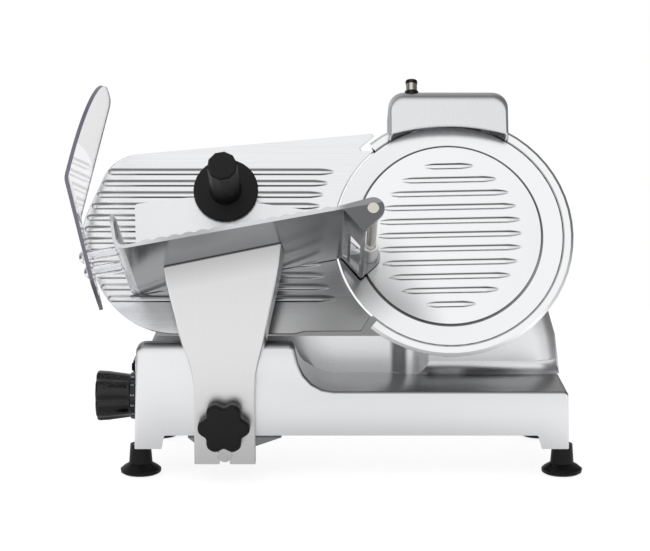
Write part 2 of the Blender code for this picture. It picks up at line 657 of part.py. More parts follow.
def drive(frame, steel, dark, aluminium, rubber):
    """Motor, belt, pulleys, spindle and bearings behind the blade."""
    motor_front = -MOTOR_PAD_DEPTH - SEAT
    profile = [(0.009, motor_front), (MOTOR_RADIUS, motor_front), (MOTOR_RADIUS, motor_front - MOTOR_LENGTH),
               (0.009, motor_front - MOTOR_LENGTH)]
    piece("drive_motor", turned(profile, 28), dark, frame, (0, -DRIVE_DISTANCE, 0))
    belt_start = BLADE_THICKNESS + SEAT + 0.002
    pinion = [(0, -belt_start), (PINION_RADIUS, -belt_start), (PINION_RADIUS, -belt_start - PULLEY_WIDTH),
              (0.006, -belt_start - PULLEY_WIDTH), (0.006, motor_front - MOTOR_LENGTH - 0.004),
              (0, motor_front - MOTOR_LENGTH - 0.004)]
    piece("motor_pinion", turned(pinion, 20), steel, frame, (0, -DRIVE_DISTANCE, 0))
    outer = drive_outline(PULLEY_RADIUS + SEAT + BELT_THICKNESS, PINION_RADIUS + SEAT + BELT_THICKNESS)
    inner = drive_outline(PULLEY_RADIUS + SEAT, PINION_RADIUS + SEAT)
    near, far = -belt_start - 0.0015, -belt_start - PULLEY_WIDTH + 0.0015
    rings = [[(x, y, near) for x, y in outer], [(x, y, far) for x, y in outer],
             [(x, y, far) for x, y in inner], [(x, y, near) for x, y in inner]]
    piece("drive_belt", stacked(rings, closed=True), rubber, frame)
    back = -BLADE_THICKNESS - SEAT
    pulley = [(SPINDLE_RADIUS + SEAT, back), (PULLEY_RADIUS - 0.003, back), (PULLEY_RADIUS, back - 0.002),
              (PULLEY_RADIUS, back - 0.002 - PULLEY_WIDTH), (0.022, back - 0.002 - PULLEY_WIDTH),
              (0.018, -RING_DEPTH + 0.001), (SPINDLE_RADIUS + SEAT, -RING_DEPTH + 0.001)]
    piece("blade_pulley", turned(pulley, 30), aluminium, frame)
    spindle = [(SPINDLE_BORE, -0.0045), (SPINDLE_RADIUS, -0.0045), (SPINDLE_RADIUS, -0.0045 - SPINDLE_LENGTH),
               (SPINDLE_BORE, -0.0045 - SPINDLE_LENGTH)]
    piece("spindle", turned(spindle, 24), steel, frame)
    front = -RING_DEPTH - SEAT - 0.0015
    rear = -MOTOR_PAD_DEPTH + 0.0015 + BEARING_WIDTH
    for name, start in (("spindle_bearing_front", front), ("spindle_bearing_rear", rear)):
        bore, end = SPINDLE_RADIUS + SEAT, start - BEARING_WIDTH
        race = [(bore, start), (BEARING_RADIUS, start), (BEARING_RADIUS, end), (bore, end)]
        piece(name, turned(race, 22), steel, frame)


def blade(steel, frame):
    """The dished round knife with its bevel, its recess for the cover and its centre bore."""
    edge = BLADE_RADIUS
    recess = COVER_RADIUS + RUNNING
    bore, floor = SPINDLE_RADIUS + SEAT, -BLADE_THICKNESS + 0.004
    back = -BLADE_THICKNESS
    profile = [(bore, floor), (recess, floor), (recess, -BLADE_DISH), (edge - 0.004, -0.0004), (edge, 0),
               (edge, -0.0003), (edge - 0.010, -0.0052), (edge - 0.022, back), (bore, back)]
    piece("blade", turned(profile, 52), steel, frame)


def blade_cover(surface, steel, dark, frame):
    """The still disc over the blade's middle, its ribs, and the rod and knob that hold it from behind."""
    floor = -BLADE_THICKNESS + 0.004 + RUNNING
    shoulder = COVER_RADIUS - 0.016
    stub = SPINDLE_BORE - 2 * SEAT
    bore = TIE_ROD_RADIUS + SEAT
    profile = [(0, COVER_DOME), (shoulder, COVER_DOME), (COVER_RADIUS - 0.006, COVER_DOME - 0.0005),
               (COVER_RADIUS, -0.0008), (COVER_RADIUS, floor), (stub, floor), (stub, -0.022), (bore, -0.022),
               (bore, -0.006), (0, -0.006)]
    cover = piece("blade_cover", turned(profile, 52), surface, frame)
    ribs = []
    for row in range(COVER_RIB_COUNT):
        v = (row - (COVER_RIB_COUNT - 1) / 2) * COVER_RIB_PITCH
        reach = COVER_RIB_REACH * sqrt(1 - (v / COVER_RIB_EDGE) ** 2)
        ribs.append(straight_rib((-reach, v), (reach, v), COVER_RIB_PITCH * 0.6, RIB_HEIGHT, COVER_DOME))
    join(cover, gathered(ribs))
    knob_start = tie_knob_start()
    piece("cover_tie_rod", rod(TIE_ROD_RADIUS, -knob_start - 0.012, -0.006 - SEAT, 14), steel, frame)
    grip = [(TIE_ROD_RADIUS + SEAT, -knob_start), (TIE_KNOB_RADIUS * 0.7, -knob_start),
            (TIE_KNOB_RADIUS, -knob_start - 0.006), (TIE_KNOB_RADIUS, -knob_start - 0.020),
            (TIE_KNOB_RADIUS * 0.8, -knob_start - 0.024), (0, -knob_start - 0.024),
            (0, -knob_start - 0.012 - SEAT), (TIE_ROD_RADIUS + SEAT, -knob_start - 0.012 - SEAT)]
    piece("tie_rod_knob", turned_capped(grip, 20), dark, frame)


def turned_capped(profile, steps):
    """A turned form whose profile touches the axis in its middle: a cup with a blind bore."""
    form = bmesh.new()
    columns = []
    for radius, height in profile:
        points = [(0, 0)] if radius == 0 else circle(radius, steps)
        columns.append([form.verts.new((x, y, height)) for x, y in points])
    count = len(columns)
    for place in range(count):
        one, other = columns[place], columns[(place + 1) % count]
        if len(one) == 1 and len(other) == 1:
            continue
        for index in range(steps):
            after = (index + 1) % steps
            if len(one) == 1:
                form.faces.new((one[0], other[after], other[index]))
            elif len(other) == 1:
                form.faces.new((one[index], one[after], other[0]))
            else:
                form.faces.new((one[index], one[after], other[after], other[index]))
    return form


def tie_knob_start():
    """How far behind the blade the knob on the tie rod starts, just clear of the housing."""
    height = BLADE_Z - 0.060
    rear = HOUSING_REAR - 0.003
    return (rear - BLADE_Y) * cos(BLADE_LEAN) + (BLADE_Z - height) * sin(BLADE_LEAN) + 0.007


def ring_guard(surface, frame):
    """The guard ring: a front lip beside the blade's edge, an outer wall and a web behind the blade."""
    inner = BLADE_RADIUS + RING_GAP
    outer = inner + RING_WIDTH
    back = outer - RING_TAPER
    section = [(inner, 0.0005), (outer - 0.0030, 0.0010), (outer, -0.0012), (outer - 0.0004, -0.0050),
               (outer - 0.0035, -0.0160), (back, -RING_DEPTH), (RING_WEB_RADIUS, -RING_DEPTH),
               (RING_WEB_RADIUS, -RING_DEPTH + 0.003), (back - RING_WALL, -RING_DEPTH + 0.003),
               (outer - 0.0035 - RING_WALL, -0.0160), (outer - RING_WALL, -0.0055), (inner, -0.0026)]
    steps = 42
    rings = []
    for step in range(steps + 1):
        turn = RING_START + RING_SWEEP * step / steps
        rings.append([(radius * cos(turn), radius * sin(turn), level) for radius, level in section])
    ring = piece("ring_guard", stacked(rings), surface, frame)
    cut(ring, box((-0.034, BLADE_RADIUS - 0.016, -RING_DEPTH - 0.01), (0.048, outer + 0.01, 0.01)))
    cut(ring, rod(0.0105, -RING_DEPTH - 0.01, -RING_DEPTH + 0.01, 16, "Z", (0, -DRIVE_DISTANCE)))
    return ring


def slice_deflector(steel):
    """The bent sheet on the housing's left side that turns slices away from the blade's back."""
    left = HOUSING_LEFT - BLADE_X
    path = [(left + 0.016, 0.044), (left, 0.038), (left - 0.016, 0.0145), (left - 0.0175, 0.0150),
            (left - 0.0012, 0.0392), (left + 0.016, 0.0455)]
    rings = []
    for v in (-0.038, 0.040):
        rings.append([(BLADE_X + u, *leaning(v, depth)) for u, depth in path])
    sheet = piece("slice_deflector", stacked(rings), steel)
    cut(sheet, stacked(housing_levels(-SEAT)))


def sharpener(surface, stone, steel, dark, frame):
    """The cover over the blade's top, the two stones under it, and the sprung push button."""
    low = BLADE_RADIUS - SHARPENER_SKIRT
    corners = [(-SHARPENER_HALF_WIDTH, low, 0), (SHARPENER_HALF_WIDTH, low, 0),
               (SHARPENER_HALF_WIDTH - 0.002, SHARPENER_TOP, 0.018),
               (-SHARPENER_HALF_WIDTH + 0.002, SHARPENER_TOP, 0.018)]
    outline = rounded(corners)
    edge = SHARPENER_EDGE_RADIUS
    shrink = [(edge * (1 - sin(turn)), SHARPENER_FRONT - edge * (1 - cos(turn)))
              for turn in [radians(30 * step) for step in range(4)]]
    shrink += [(0, -SHARPENER_BACK + 0.006), (0.0035, -SHARPENER_BACK)]
    shell = []
    for inset, level in shrink:
        share = 1 - inset / SHARPENER_HALF_WIDTH
        shell.append([(u * share, v - inset * (v > BLADE_RADIUS), level) for u, v in outline])
    cover = piece("sharpener_cover", stacked(shell), surface, frame)
    wall = SHARPENER_WALL
    half, ceiling = SHARPENER_HALF_WIDTH - wall, SHARPENER_TOP - wall
    inside = rounded([(-half, low - 0.020, 0), (half, low - 0.020, 0),
                      (half - 0.002, ceiling, 0.015), (-half + 0.002, ceiling, 0.015)])
    cut(cover, prism(inside, -SHARPENER_BACK + wall, SHARPENER_FRONT - wall))
    arch = circle(SHARPENER_ARCH_RADIUS, 64, (0, SHARPENER_ARCH_TOP - SHARPENER_ARCH_RADIUS))
    cut(cover, prism(arch, -SHARPENER_BACK - 0.01, SHARPENER_FRONT + 0.01))
    ring_outer = BLADE_RADIUS + RING_GAP + RING_WIDTH + SEAT
    cut(cover, prism(circle(ring_outer, 72), -RING_DEPTH - SEAT, 0.0013))
    hole = GROMMET_RADIUS - 0.0002
    cut(cover, rod(hole, SHARPENER_TOP - 0.012, SHARPENER_TOP + 0.01, 18, "Y", (BUTTON_U, BUTTON_N)))
    wheel = [(0.0034, -0.0095), (STONE_RADIUS, -0.0095), (STONE_RADIUS, -0.0155), (0.0034, -0.0155)]
    place = (0.022, BLADE_RADIUS + 0.007, 0)
    piece("grinding_stone", turned(wheel, 24), stone, frame, place)
    shaft = [(0, -0.008), (0.003, -0.008), (0.003, -0.017), (0.0055, -0.017),
             (0.0055, -SHARPENER_BACK + wall + SEAT), (0, -SHARPENER_BACK + wall + SEAT)]
    piece("grinding_stone_shaft", turned(shaft, 12), steel, frame, place)
    button(steel, dark, stone, frame)
    return cover


def button(steel, dark, stone, frame):
    """The push button, its plunger with the deburring stone below, its grommet and its spring."""
    place = (BUTTON_U, 0, BUTTON_N)
    top = SHARPENER_TOP + 0.0098
    stem = rod(PLUNGER_RADIUS, BLADE_RADIUS + 0.009, top, 16, "Y")
    plunger = piece("sharpener_plunger", stem, steel, frame, place)
    pin_level = BLADE_RADIUS + 0.013
    join(plunger, rod(0.003, -0.0132, 0.001, 11, "Z", (0, pin_level)))
    cap = [(0, top + SEAT), (BUTTON_RADIUS, top + SEAT), (BUTTON_RADIUS, top + BUTTON_HEIGHT - 0.0008),
           (BUTTON_RADIUS - 0.0008, top + BUTTON_HEIGHT), (0, top + BUTTON_HEIGHT)]
    piece("sharpener_button", turned(cap, 20, "Y"), dark, frame, place)
    inner, outer = PLUNGER_RADIUS + SEAT, GROMMET_RADIUS - SEAT * 2
    rim, foot = SHARPENER_TOP + 0.0012, SHARPENER_TOP - 0.0045
    grommet = [(inner, rim), (GROMMET_RADIUS - 0.0012, rim), (outer, SHARPENER_TOP), (outer, foot),
               (inner, foot)]
    piece("plunger_grommet", turned(grommet, 20, "Y"), dark, frame, place)
    wheel = [(0.0034, -0.0125), (0.012, -0.0125), (0.012, -0.0085), (0.0034, -0.0085)]
    piece("deburring_stone", turned(wheel, 20), stone, frame, (BUTTON_U, pin_level, BUTTON_N))
    spring = coil(0.0074, 0.0005, foot - 0.0010, pin_level + 0.0040, 5)
    piece("plunger_spring", spring, steel, frame, place)


def coil(radius, wire, top, bottom, turns):
    """A round-wire extension spring along Y as one unbroken tube."""
    points = turns * 8
    rings = []
    for step in range(points + 1):
        angle = 2 * pi * turns * step / points
        height = top + (bottom - top) * step / points
        ring = []
        for side in range(4):
            around = 2 * pi * side / 4
            reach = radius + wire * cos(around)
            ring.append((reach * cos(angle), height + wire * sin(around), reach * sin(angle)))
        rings.append(ring)
    return stacked(rings)


def gauge_outline():
    """The gauge plate's outline: sloping top, round left end and a hollow arc round the blade."""
    reach = BLADE_RADIUS + GAUGE_GAP
    right = -reach + 0.0443
    left_top = -GAUGE_LEFT + 0.036
    top = GAUGE_TOP + GAUGE_TOP_SLOPE * (left_top - right)
    upper = radians(130.5)
    lower = radians(226.5)
    corners = [(right, GAUGE_TOP, 0.003), (left_top, top, 0.045), (-GAUGE_LEFT, 0.005, 0.060),
               (-GAUGE_LEFT + 0.043, -GAUGE_BOTTOM, 0.095), (right - 0.0873, -GAUGE_BOTTOM, 0.004),
               (right - 0.0753, -GAUGE_BOTTOM + 0.003, 0.004), (right - 0.0128, -GAUGE_BOTTOM + 0.003, 0.005)]
    outline = rounded(corners, radians(12))
    outline += [(right - 0.0117, -GAUGE_BOTTOM + 0.0085)]
    outline += arc(reach, lower, upper, 20)
    outline += [(right - 0.0133, GAUGE_TOP - 0.0205), (right - 0.0153, GAUGE_TOP - 0.0170),
                (right - 0.0123, GAUGE_TOP - 0.0140)]
    return outline


def gauge_left_edge(v):
    """Where the gauge plate's left edge lies at a height."""
    outline = gauge_outline()
    crossings = []
    for (u0, v0), (u1, v1) in zip(outline, outline[1:] + outline[:1]):
        if (v0 - v) * (v1 - v) < 0:
            crossings.append(u0 + (u1 - u0) * (v - v0) / (v1 - v0))
    return min(crossings)


def gauge_plate(surface, frame):
    """The ribbed plate that sets how thick a slice is."""
    sheet = prism(gauge_outline(), GAUGE_FACE - GAUGE_THICKNESS, GAUGE_FACE)
    plate = piece("gauge_plate", sheet, surface, frame)
    ribs = []
    for row in range(GAUGE_RIB_COUNT):
        v = ((GAUGE_RIB_COUNT - 1) / 2 - row) * GAUGE_RIB_PITCH
        end = -sqrt(GAUGE_RIB_END_RADIUS**2 - v**2)
        start = max(gauge_left_edge(v - GAUGE_RIB_WIDTH / 2), gauge_left_edge(v + GAUGE_RIB_WIDTH / 2)) + 0.0015
        ribs.append(straight_rib((start, v), (end, v), GAUGE_RIB_WIDTH, RIB_HEIGHT, GAUGE_FACE))
    join(plate, gathered(ribs))
    return plate


def gauge_slide(aluminium, steel, dark, frame):
    """The bracket behind the gauge plate, its rod, and the cam and shaft that move it."""
    back = GAUGE_FACE - GAUGE_THICKNESS - SEAT
    hub_front = -(GUIDE_START + GUIDE_BOSS_LENGTH + 2 * RUNNING)
    hub_rear = hub_front - GUIDE_HUB_LENGTH
    hub_low = SLIDE_V - 0.013
    outline = rounded([(back, -0.060, 0), (back - 0.010, -0.060, 0.003), (hub_rear, -0.126, 0.010),
                       (hub_rear, hub_low, 0.003), (hub_front, hub_low, 0.003), (hub_front, -0.124, 0.006),
                       (back, -0.108, 0)])
    bracket = piece("gauge_bracket", prism([(v, n) for n, v in outline], SLIDE_U - 0.012, SLIDE_U + 0.012, "X"),
                    aluminium, frame)
    shaft_v, shaft_n = in_lean(KNOB_Y, KNOB_Z)
    follower_n = shaft_n - CAM_SMALL_RADIUS - SEAT - FOLLOWER_RADIUS
    lug_left = SLIDE_U - 0.018
    lug = rounded([(shaft_v + 0.016, hub_rear + 0.012, 0.003), (shaft_v + 0.010, follower_n - 0.007, 0.004),
                   (shaft_v - 0.007, follower_n - 0.007, 0.004), (hub_low + 0.002, hub_rear + 0.012, 0)])
    join(bracket, prism(lug, lug_left, SLIDE_U - 0.0128, "X"))
    bridge_end = (SLIDE_U - 0.010, SLIDE_V + 0.006, hub_rear + 0.012)
    join(bracket, box((lug_left + 0.001, hub_low + 0.004, hub_rear + 0.004), bridge_end))
    pin_end = cam_left() + 0.001
    join(bracket, rod(FOLLOWER_RADIUS, pin_end, lug_left + 0.002, 14, "X", (shaft_v, follower_n)))
    cut(bracket, rod(GAUGE_ROD_RADIUS + SEAT, hub_rear - 0.02, hub_front + 0.02, 20, "Z", (SLIDE_U, SLIDE_V)))
    start = -GUIDE_START
    end = -(rear_boss_start() + GUIDE_BOSS_LENGTH)
    piece("gauge_slide_rod", rod(GAUGE_ROD_RADIUS, end, start, 20, "Z", (SLIDE_U, SLIDE_V)), steel, frame)
    knob_group(steel, dark)


def cam_left():
    """The cam's left face, in the blade's own axes."""
    return SLIDE_U - 0.018 - 0.0235


def cam_outline():
    """A spiral that pushes the follower back as the knob turns, in (Y, Z) round the shaft."""
    away = atan2(-sin(BLADE_LEAN), cos(BLADE_LEAN))
    points = []
    steps = 30
    for step in range(steps + 1):
        turn = CAM_TURN * step / steps
        radius = CAM_SMALL_RADIUS + GAUGE_TRAVEL * step / steps
        points.append((radius * cos(away - turn), radius * sin(away - turn)))
    return points


def knob_group(steel, dark):
    """The thickness knob with its skirt and shaft, and the cam on the shaft's inner end."""
    place = (BASE_LEFT, KNOB_Y, KNOB_Z)
    cam_x = BLADE_X + cam_left() - BASE_LEFT
    cam = piece("thickness_cam", prism(cam_outline(), cam_x + 0.002, cam_x + 0.002 + CAM_THICKNESS, "X"),
                steel, None, place)
    join(cam, rod(0.0058, -0.030, cam_x + 0.004, 14, "X"))
    grip_end = -KNOB_LENGTH
    rings = []
    steps = 36
    profile = [(-0.0005 - SEAT, 0.0262, 0), (-0.0050, 0.0258, 0), (-0.0065, KNOB_RADIUS - 0.0038, 0.3),
               (-0.012, KNOB_RADIUS - 0.0034, 1), (-0.030, KNOB_RADIUS - 0.001, 1),
               (grip_end + 0.003, KNOB_RADIUS, 1),
               (grip_end + 0.0008, KNOB_RADIUS - 0.0006, 0.9), (grip_end, KNOB_RADIUS - 0.0022, 0.8)]
    for x, radius, depth in profile:
        ring = []
        for step in range(steps):
            turn = 2 * pi * step / steps
            flute = max(0.0, cos(6 * turn)) ** 2 * 0.0022 * depth
            ring.append((x, (radius - flute) * cos(turn), (radius - flute) * sin(turn)))
        rings.append(ring)
    knob = piece("thickness_knob", stacked(rings), dark, None, place)
    cut(knob, rod(0.0058 + SEAT, -0.030 - SEAT, 0.01, 14, "X"))


def switch_group(surface, dark):
    """The switch on the left wall: pale plate, black body and two push buttons."""
    y0, y1, z0, z1 = switch_span()
    wall = BASE_LEFT
    plate = [(wall - SEAT, 0), (wall - 0.0045, 0.0006), (wall - 0.0073, 0.0035)]
    rings = []
    for x, inset in plate:
        corners = [(y0 + inset, z0 + inset, 0.005), (y1 - inset, z0 + inset, 0.005),
                   (y1 - inset, z1 - inset, 0.005), (y0 + inset, z1 - inset, 0.005)]
        rings.append([(x, y, z) for y, z in rounded(corners, radians(31))])
    bezel = piece("switch_plate", stacked(rings), surface)
    inner = SWITCH_RIM
    hole = inner - SEAT
    cut(bezel, box((wall - 0.01, y0 + hole, z0 + hole), (wall + 0.01, y1 - hole, z1 - hole)))
    block = box((wall - 0.0098, y0 + inner, z0 + inner), (wall + 0.016, y1 - inner, z1 - inner))
    body = piece("switch_body", block, dark)
    for level, name in ((0.68, "on_button"), (0.32, "off_button")):
        centre = ((y0 + y1) / 2, z0 + (z1 - z0) * level)
        cut(body, rod(0.0045 + SEAT, wall - 0.02, wall + 0.004, 14, "X", centre))
        piece(name, rod(0.0045, -0.0125, 0.0035 - 0.003, 14, "X"), dark, None, (wall, *centre))


def cord_gland(dark):
    """The inlet for the mains cord in the rear wall; the cord is not made."""
    inside = -BASE_WALL - 0.003
    profile = [(0.0035, 0.010), (0.006, 0.010), (0.0105, 0.002), (0.0105, SEAT), (0.0082, SEAT),
               (0.0082, inside), (0.0035, inside)]
    place = (BLADE_X - 0.107, BASE_REAR, SKIRT_BOTTOM + 0.023)
    piece("cord_gland", turned(profile, 16, "Y"), dark, None, place)


def carriage_slide(steel, aluminium, dark):
    """The carriage rod and guide bar in the base, and the block and roller that run on them."""
    start, end = BASE_LEFT + 0.006 + SEAT, BASE_RIGHT - 0.007 - SEAT
    piece("carriage_rod", rod(ROD_RADIUS, start, end, 20, "X", (ROD_Y, ROD_Z)), steel)
    half = GUIDE_BAR_SIZE / 2
    bar = box((start, GUIDE_BAR_Y - half, GUIDE_BAR_Z - half), (end, GUIDE_BAR_Y + half, GUIDE_BAR_Z + half))
    piece("guide_bar", bar, steel)
    roller_z = GUIDE_BAR_Z - half - SEAT - ROLLER_RADIUS
    arm_back = ARM_FRONT + ARM_PLATE + SEAT
    tongue = GUIDE_BAR_Y - half - 0.001
    hub = rounded([(ROD_Y - 0.0105, ROD_Z + 0.012, 0.004), (ROD_Y - 0.0105, SKIRT_BOTTOM - 0.006, 0),
                   (ROD_Y + 0.003, SKIRT_BOTTOM - 0.006, 0), (ROD_Y + 0.003, roller_z - 0.004, 0),
                   (tongue, roller_z - 0.004, 0), (tongue, roller_z + 0.004, 0),
                   (ROD_Y + 0.012, ROD_Z - 0.008, 0.003), (ROD_Y + 0.012, ROD_Z + 0.012, 0.004)])
    block = piece("slide_block", prism(hub, ARM_X - 0.020, ARM_X + 0.020, "X"), aluminium)
    foot = [(ARM_X - 0.0405, SKIRT_BOTTOM - 0.0015), (ARM_X - 0.033, 0.0405), (ARM_X - 0.012, 0.035),
            (ARM_X + 0.018, 0.035), (ARM_X + 0.034, 0.0375), (ARM_X + 0.060, SKIRT_BOTTOM - 0.0015)]
    join(block, prism(foot, ARM_FRONT + ARM_FLANGE + SEAT, ROD_Y + 0.0025, "Y"))
    pad_half = ARM_WIDTH / 2 - 0.0053
    join(block, box((ARM_X - pad_half, arm_back, 0.0235), (ARM_X + pad_half, arm_back + 0.0095, 0.096)))
    axle = (ARM_X, roller_z)
    join(block, rod(0.0024, GUIDE_BAR_Y - half - 0.004, GUIDE_BAR_Y + half - 0.001, 12, "Y", axle))
    cut(block, rod(ROD_RADIUS + SEAT, ARM_X - 0.05, ARM_X + 0.05, 20, "X", (ROD_Y, ROD_Z)))
    cut(block, rod(STUD_RADIUS + SEAT, arm_back - 0.01, arm_back + 0.0075, 14, "Y", (ARM_X, STAR_Z)))
    cut(block, rod(0.0045 + SEAT, arm_back - 0.01, arm_back + 0.0065, 14, "Y", (ARM_X, PIN_Z)))
    side = half - SEAT
    roller = [(0.0027, -side), (ROLLER_RADIUS, -side), (ROLLER_RADIUS, side), (0.0027, side)]
    piece("guide_roller", turned(roller, 18, "Y"), dark, None, (ARM_X, GUIDE_BAR_Y, roller_z))


def arm_levels():
    """Half-open sections of the carriage arm: narrow at the knob, wide under the tray."""
    foot_half = ARM_WIDTH / 2
    rows = [(ARM_BOTTOM, -foot_half, foot_half, 0, ARM_FLANGE), (0.088, -foot_half, foot_half, 0, ARM_FLANGE),
            (0.104, -foot_half + 0.0002, foot_half + 0.0002, 0, ARM_FLANGE),
            (0.118, -0.0345, 0.0335, 0, ARM_FLANGE), (0.132, -0.038, 0.0365, 0.001, ARM_FLANGE),
            (BOX_TOP + 0.003, -0.0445, 0.0415, 0.003, ARM_FLANGE), (0.172, -0.0495, 0.0455, 0.0035, 0.030),
            (0.216, -0.0600, 0.0545, 0.0045, 0.034), (0.234, -0.0628, 0.0575, 0.0048, 0.034),
            (0.262, -0.0640, 0.0610, 0.0050, 0.034)]
    wall = 0.0045
    edge = 0.0014
    back = ARM_FRONT + ARM_PLATE
    sections = []
    for height, left, right, flare, depth in rows:
        rear = ARM_FRONT + depth
        left, right = ARM_X + left, ARM_X + right
        front = ARM_FRONT + edge
        outside = [(left - flare, rear), (left, front), (left + edge, ARM_FRONT),
                   (right - edge, ARM_FRONT), (right, front), (right + flare, rear)]
        inside = [(right + flare - wall, rear), (right - wall, back), (left + wall, back),
                  (left - flare + wall, rear)]
        sections.append([(x, y, height) for x, y in outside + inside])
    return sections


def tray_plane_cutter():
    """A big block that covers all that lies above the tray's underside, in world axes."""
    along = Vector((cos(TRAY_SLOPE), sin(TRAY_SLOPE) * sin(BLADE_LEAN), sin(TRAY_SLOPE) * cos(BLADE_LEAN)))
    out = Vector((0, -cos(BLADE_LEAN), sin(BLADE_LEAN)))
    up = out.cross(along)
    rod_y, rod_z = leaning(TRAY_ROD_V, 0)
    origin = Vector((BLADE_X + TRAY_ROD_U, rod_y, rod_z))
    level = TRAY_UNDER - SEAT
    rings = []
    for n in (-0.1, 0.3):
        ring = []
        for a, b in ((-0.4, level), (0.1, level), (0.1, level + 0.2), (-0.4, level + 0.2)):
            ring.append(tuple(origin + along * a + up * b + out * n))
        rings.append(ring)
    return stacked(rings)


def carriage_arm(surface, dark, steel):
    """The support arm in front of the base, its star knob and its locating pin."""
    arm = piece("carriage_arm", stacked(arm_levels()), surface)
    cut(arm, tray_plane_cutter())
    low, high = ARM_BOTTOM - 0.01, PIN_Z + 0.006
    notch = [(ARM_X - 0.0058, low), (ARM_X + 0.0052, low), (ARM_X + 0.0052, high), (ARM_X - 0.0058, high)]
    cut(arm, prism(notch, ARM_FRONT - 0.01, ARM_FRONT + ARM_PLATE + 0.001, "Y"))
    cut(arm, rod(STUD_RADIUS + SEAT, ARM_FRONT - 0.01, ARM_FRONT + ARM_PLATE + 0.001, 14, "Y", (ARM_X, STAR_Z)))
    steps = 48
    rows = [(-SEAT, 0.40, 0), (-0.005, 0.42, 0), (-0.006, 0.93, 0.8), (-0.010, 1.0, 1),
            (-0.006 - STAR_THICKNESS + 0.005, 1.0, 1), (-0.006 - STAR_THICKNESS + 0.001, 0.95, 1),
            (-0.006 - STAR_THICKNESS, 0.88, 1)]
    rings = []
    for y, size, lobes in rows:
        ring = []
        for step in range(steps):
            turn = 2 * pi * step / steps
            radius = STAR_RADIUS * size * (1 - lobes * 0.13 * (1 - cos(6 * turn)))
            ring.append((radius * cos(turn), y, radius * sin(turn)))
        rings.append(ring)
    star = piece("star_knob", stacked(rings), dark, None, (ARM_X, ARM_FRONT, STAR_Z))
    stud_tip = ARM_PLATE + SEAT + 0.0072 - SEAT
    cut(star, rod(STUD_RADIUS + SEAT, -0.018 - SEAT, 0.01, 14, "Y"))
    stud = rod(STUD_RADIUS, -0.018, stud_tip, 14, "Y")
    piece("star_knob_stud", stud, steel, None, (ARM_X, ARM_FRONT, STAR_Z))
    head = [(0, -0.0030), (PIN_HEAD_RADIUS - 0.001, -0.0030), (PIN_HEAD_RADIUS, -0.0020),
            (PIN_HEAD_RADIUS, -SEAT), (0.0045, -SEAT), (0.0045, ARM_PLATE + 0.0060), (0, ARM_PLATE + 0.0060)]
    piece("locating_pin", turned(head, 24, "Y"), steel, None, (ARM_X, ARM_FRONT, PIN_Z))
    return arm


def tray_profile():
    """The tray's cross-section: fence, ribbed table and the web that bends down at the right."""
    left = -TRAY_LENGTH
    inner = left + TRAY_WALL
    top = [(left, FENCE_HEIGHT, 0.001), (left, TRAY_UNDER, 0.0105), (-0.030, TRAY_UNDER, 0.003),
           (-0.0145, -0.0215, 0), (-0.0117, -0.0215, 0), (-0.0262, TRAY_TOP - 0.0012, 0.003),
           (-0.034, TRAY_TOP, 0)]
    count = int((TRAY_LENGTH - 0.052) / TRAY_RIB_PITCH)
    for row in range(count):
        centre = -0.046 - row * TRAY_RIB_PITCH
        for across, up in ((0.44, 0), (0.21, 0.8), (0, 1), (-0.21, 0.8), (-0.44, 0)):
            top.append((centre + across * TRAY_RIB_PITCH, TRAY_TOP + up * TRAY_RIB_HEIGHT, 0))
    top += [(inner, TRAY_TOP, 0.0075), (inner, FENCE_HEIGHT, 0.001)]
    return rounded(top, radians(30))


def tray(surface, frame):
    """The carriage's tray with its fence, its ribs, its windowed web and the two lugs of the rod."""
    body = piece("tray", prism(tray_profile(), TRAY_BACK, TRAY_FRONT), surface, frame)
    lug = [(-0.034, TRAY_UNDER + 0.0008, 0), (-0.029, TRAY_UNDER + 0.0002, 0), (-0.0128, -0.0222, 0.001)]
    angle = radians(-52)
    round_end = [(LUG_RADIUS * cos(turn), LUG_RADIUS * sin(turn), 0)
                 for turn in [angle + (radians(98) - angle) * step / 10 for step in range(11)]]
    lug += round_end + [(-0.034, TRAY_TOP + 0.0003, 0)]
    outline = rounded(lug)
    join(body, gathered([prism(outline, TRAY_FRONT - LUG_THICKNESS, TRAY_FRONT - 0.0001),
                         prism(outline, TRAY_BACK + 0.0001, TRAY_BACK + LUG_THICKNESS - 0.0015)]))
    past, above = TRAY_FRONT + 0.001, FENCE_HEIGHT + 0.001
    chamfer = [(past, 0.0335), (past, above), (TRAY_FRONT - 0.040, above)]
    cut(body, prism([(b, n) for n, b in chamfer], -TRAY_LENGTH - 0.01, -TRAY_LENGTH + 0.02, "X"))
    down = Vector((0.0155, -0.026)).normalized()
    start = Vector((-0.0282, 0.0005)) + down * 0.004
    end = start + down * 0.019
    side = Vector((-down.y, down.x)) * 0.008
    window = [tuple(start + side), tuple(end + side), tuple(end - side), tuple(start - side)]
    cut(body, prism(window, 0.016, 0.124))
    cut(body, rod(PUSHER_ROD_RADIUS + SEAT, TRAY_BACK + 0.0012, TRAY_FRONT + 0.01, 20))
    for n in POST_PLACES:
        hole_end = -TRAY_LENGTH + TRAY_WALL + 0.002
        cut(body, rod(SCREW_RADIUS + SEAT, -TRAY_LENGTH - 0.01, hole_end, 12, "X", (POST_HEIGHT, n)))
    return body


def guard_bend():
    """The guard's bend line, in the blade's system, beside the tray's fence."""
    fence_u = TRAY_ROD_U - TRAY_LENGTH * cos(TRAY_SLOPE)
    fence_v = TRAY_ROD_V - TRAY_LENGTH * sin(TRAY_SLOPE)
    return fence_u - GUARD_BEND_OUT, fence_v + GUARD_BEND_UP


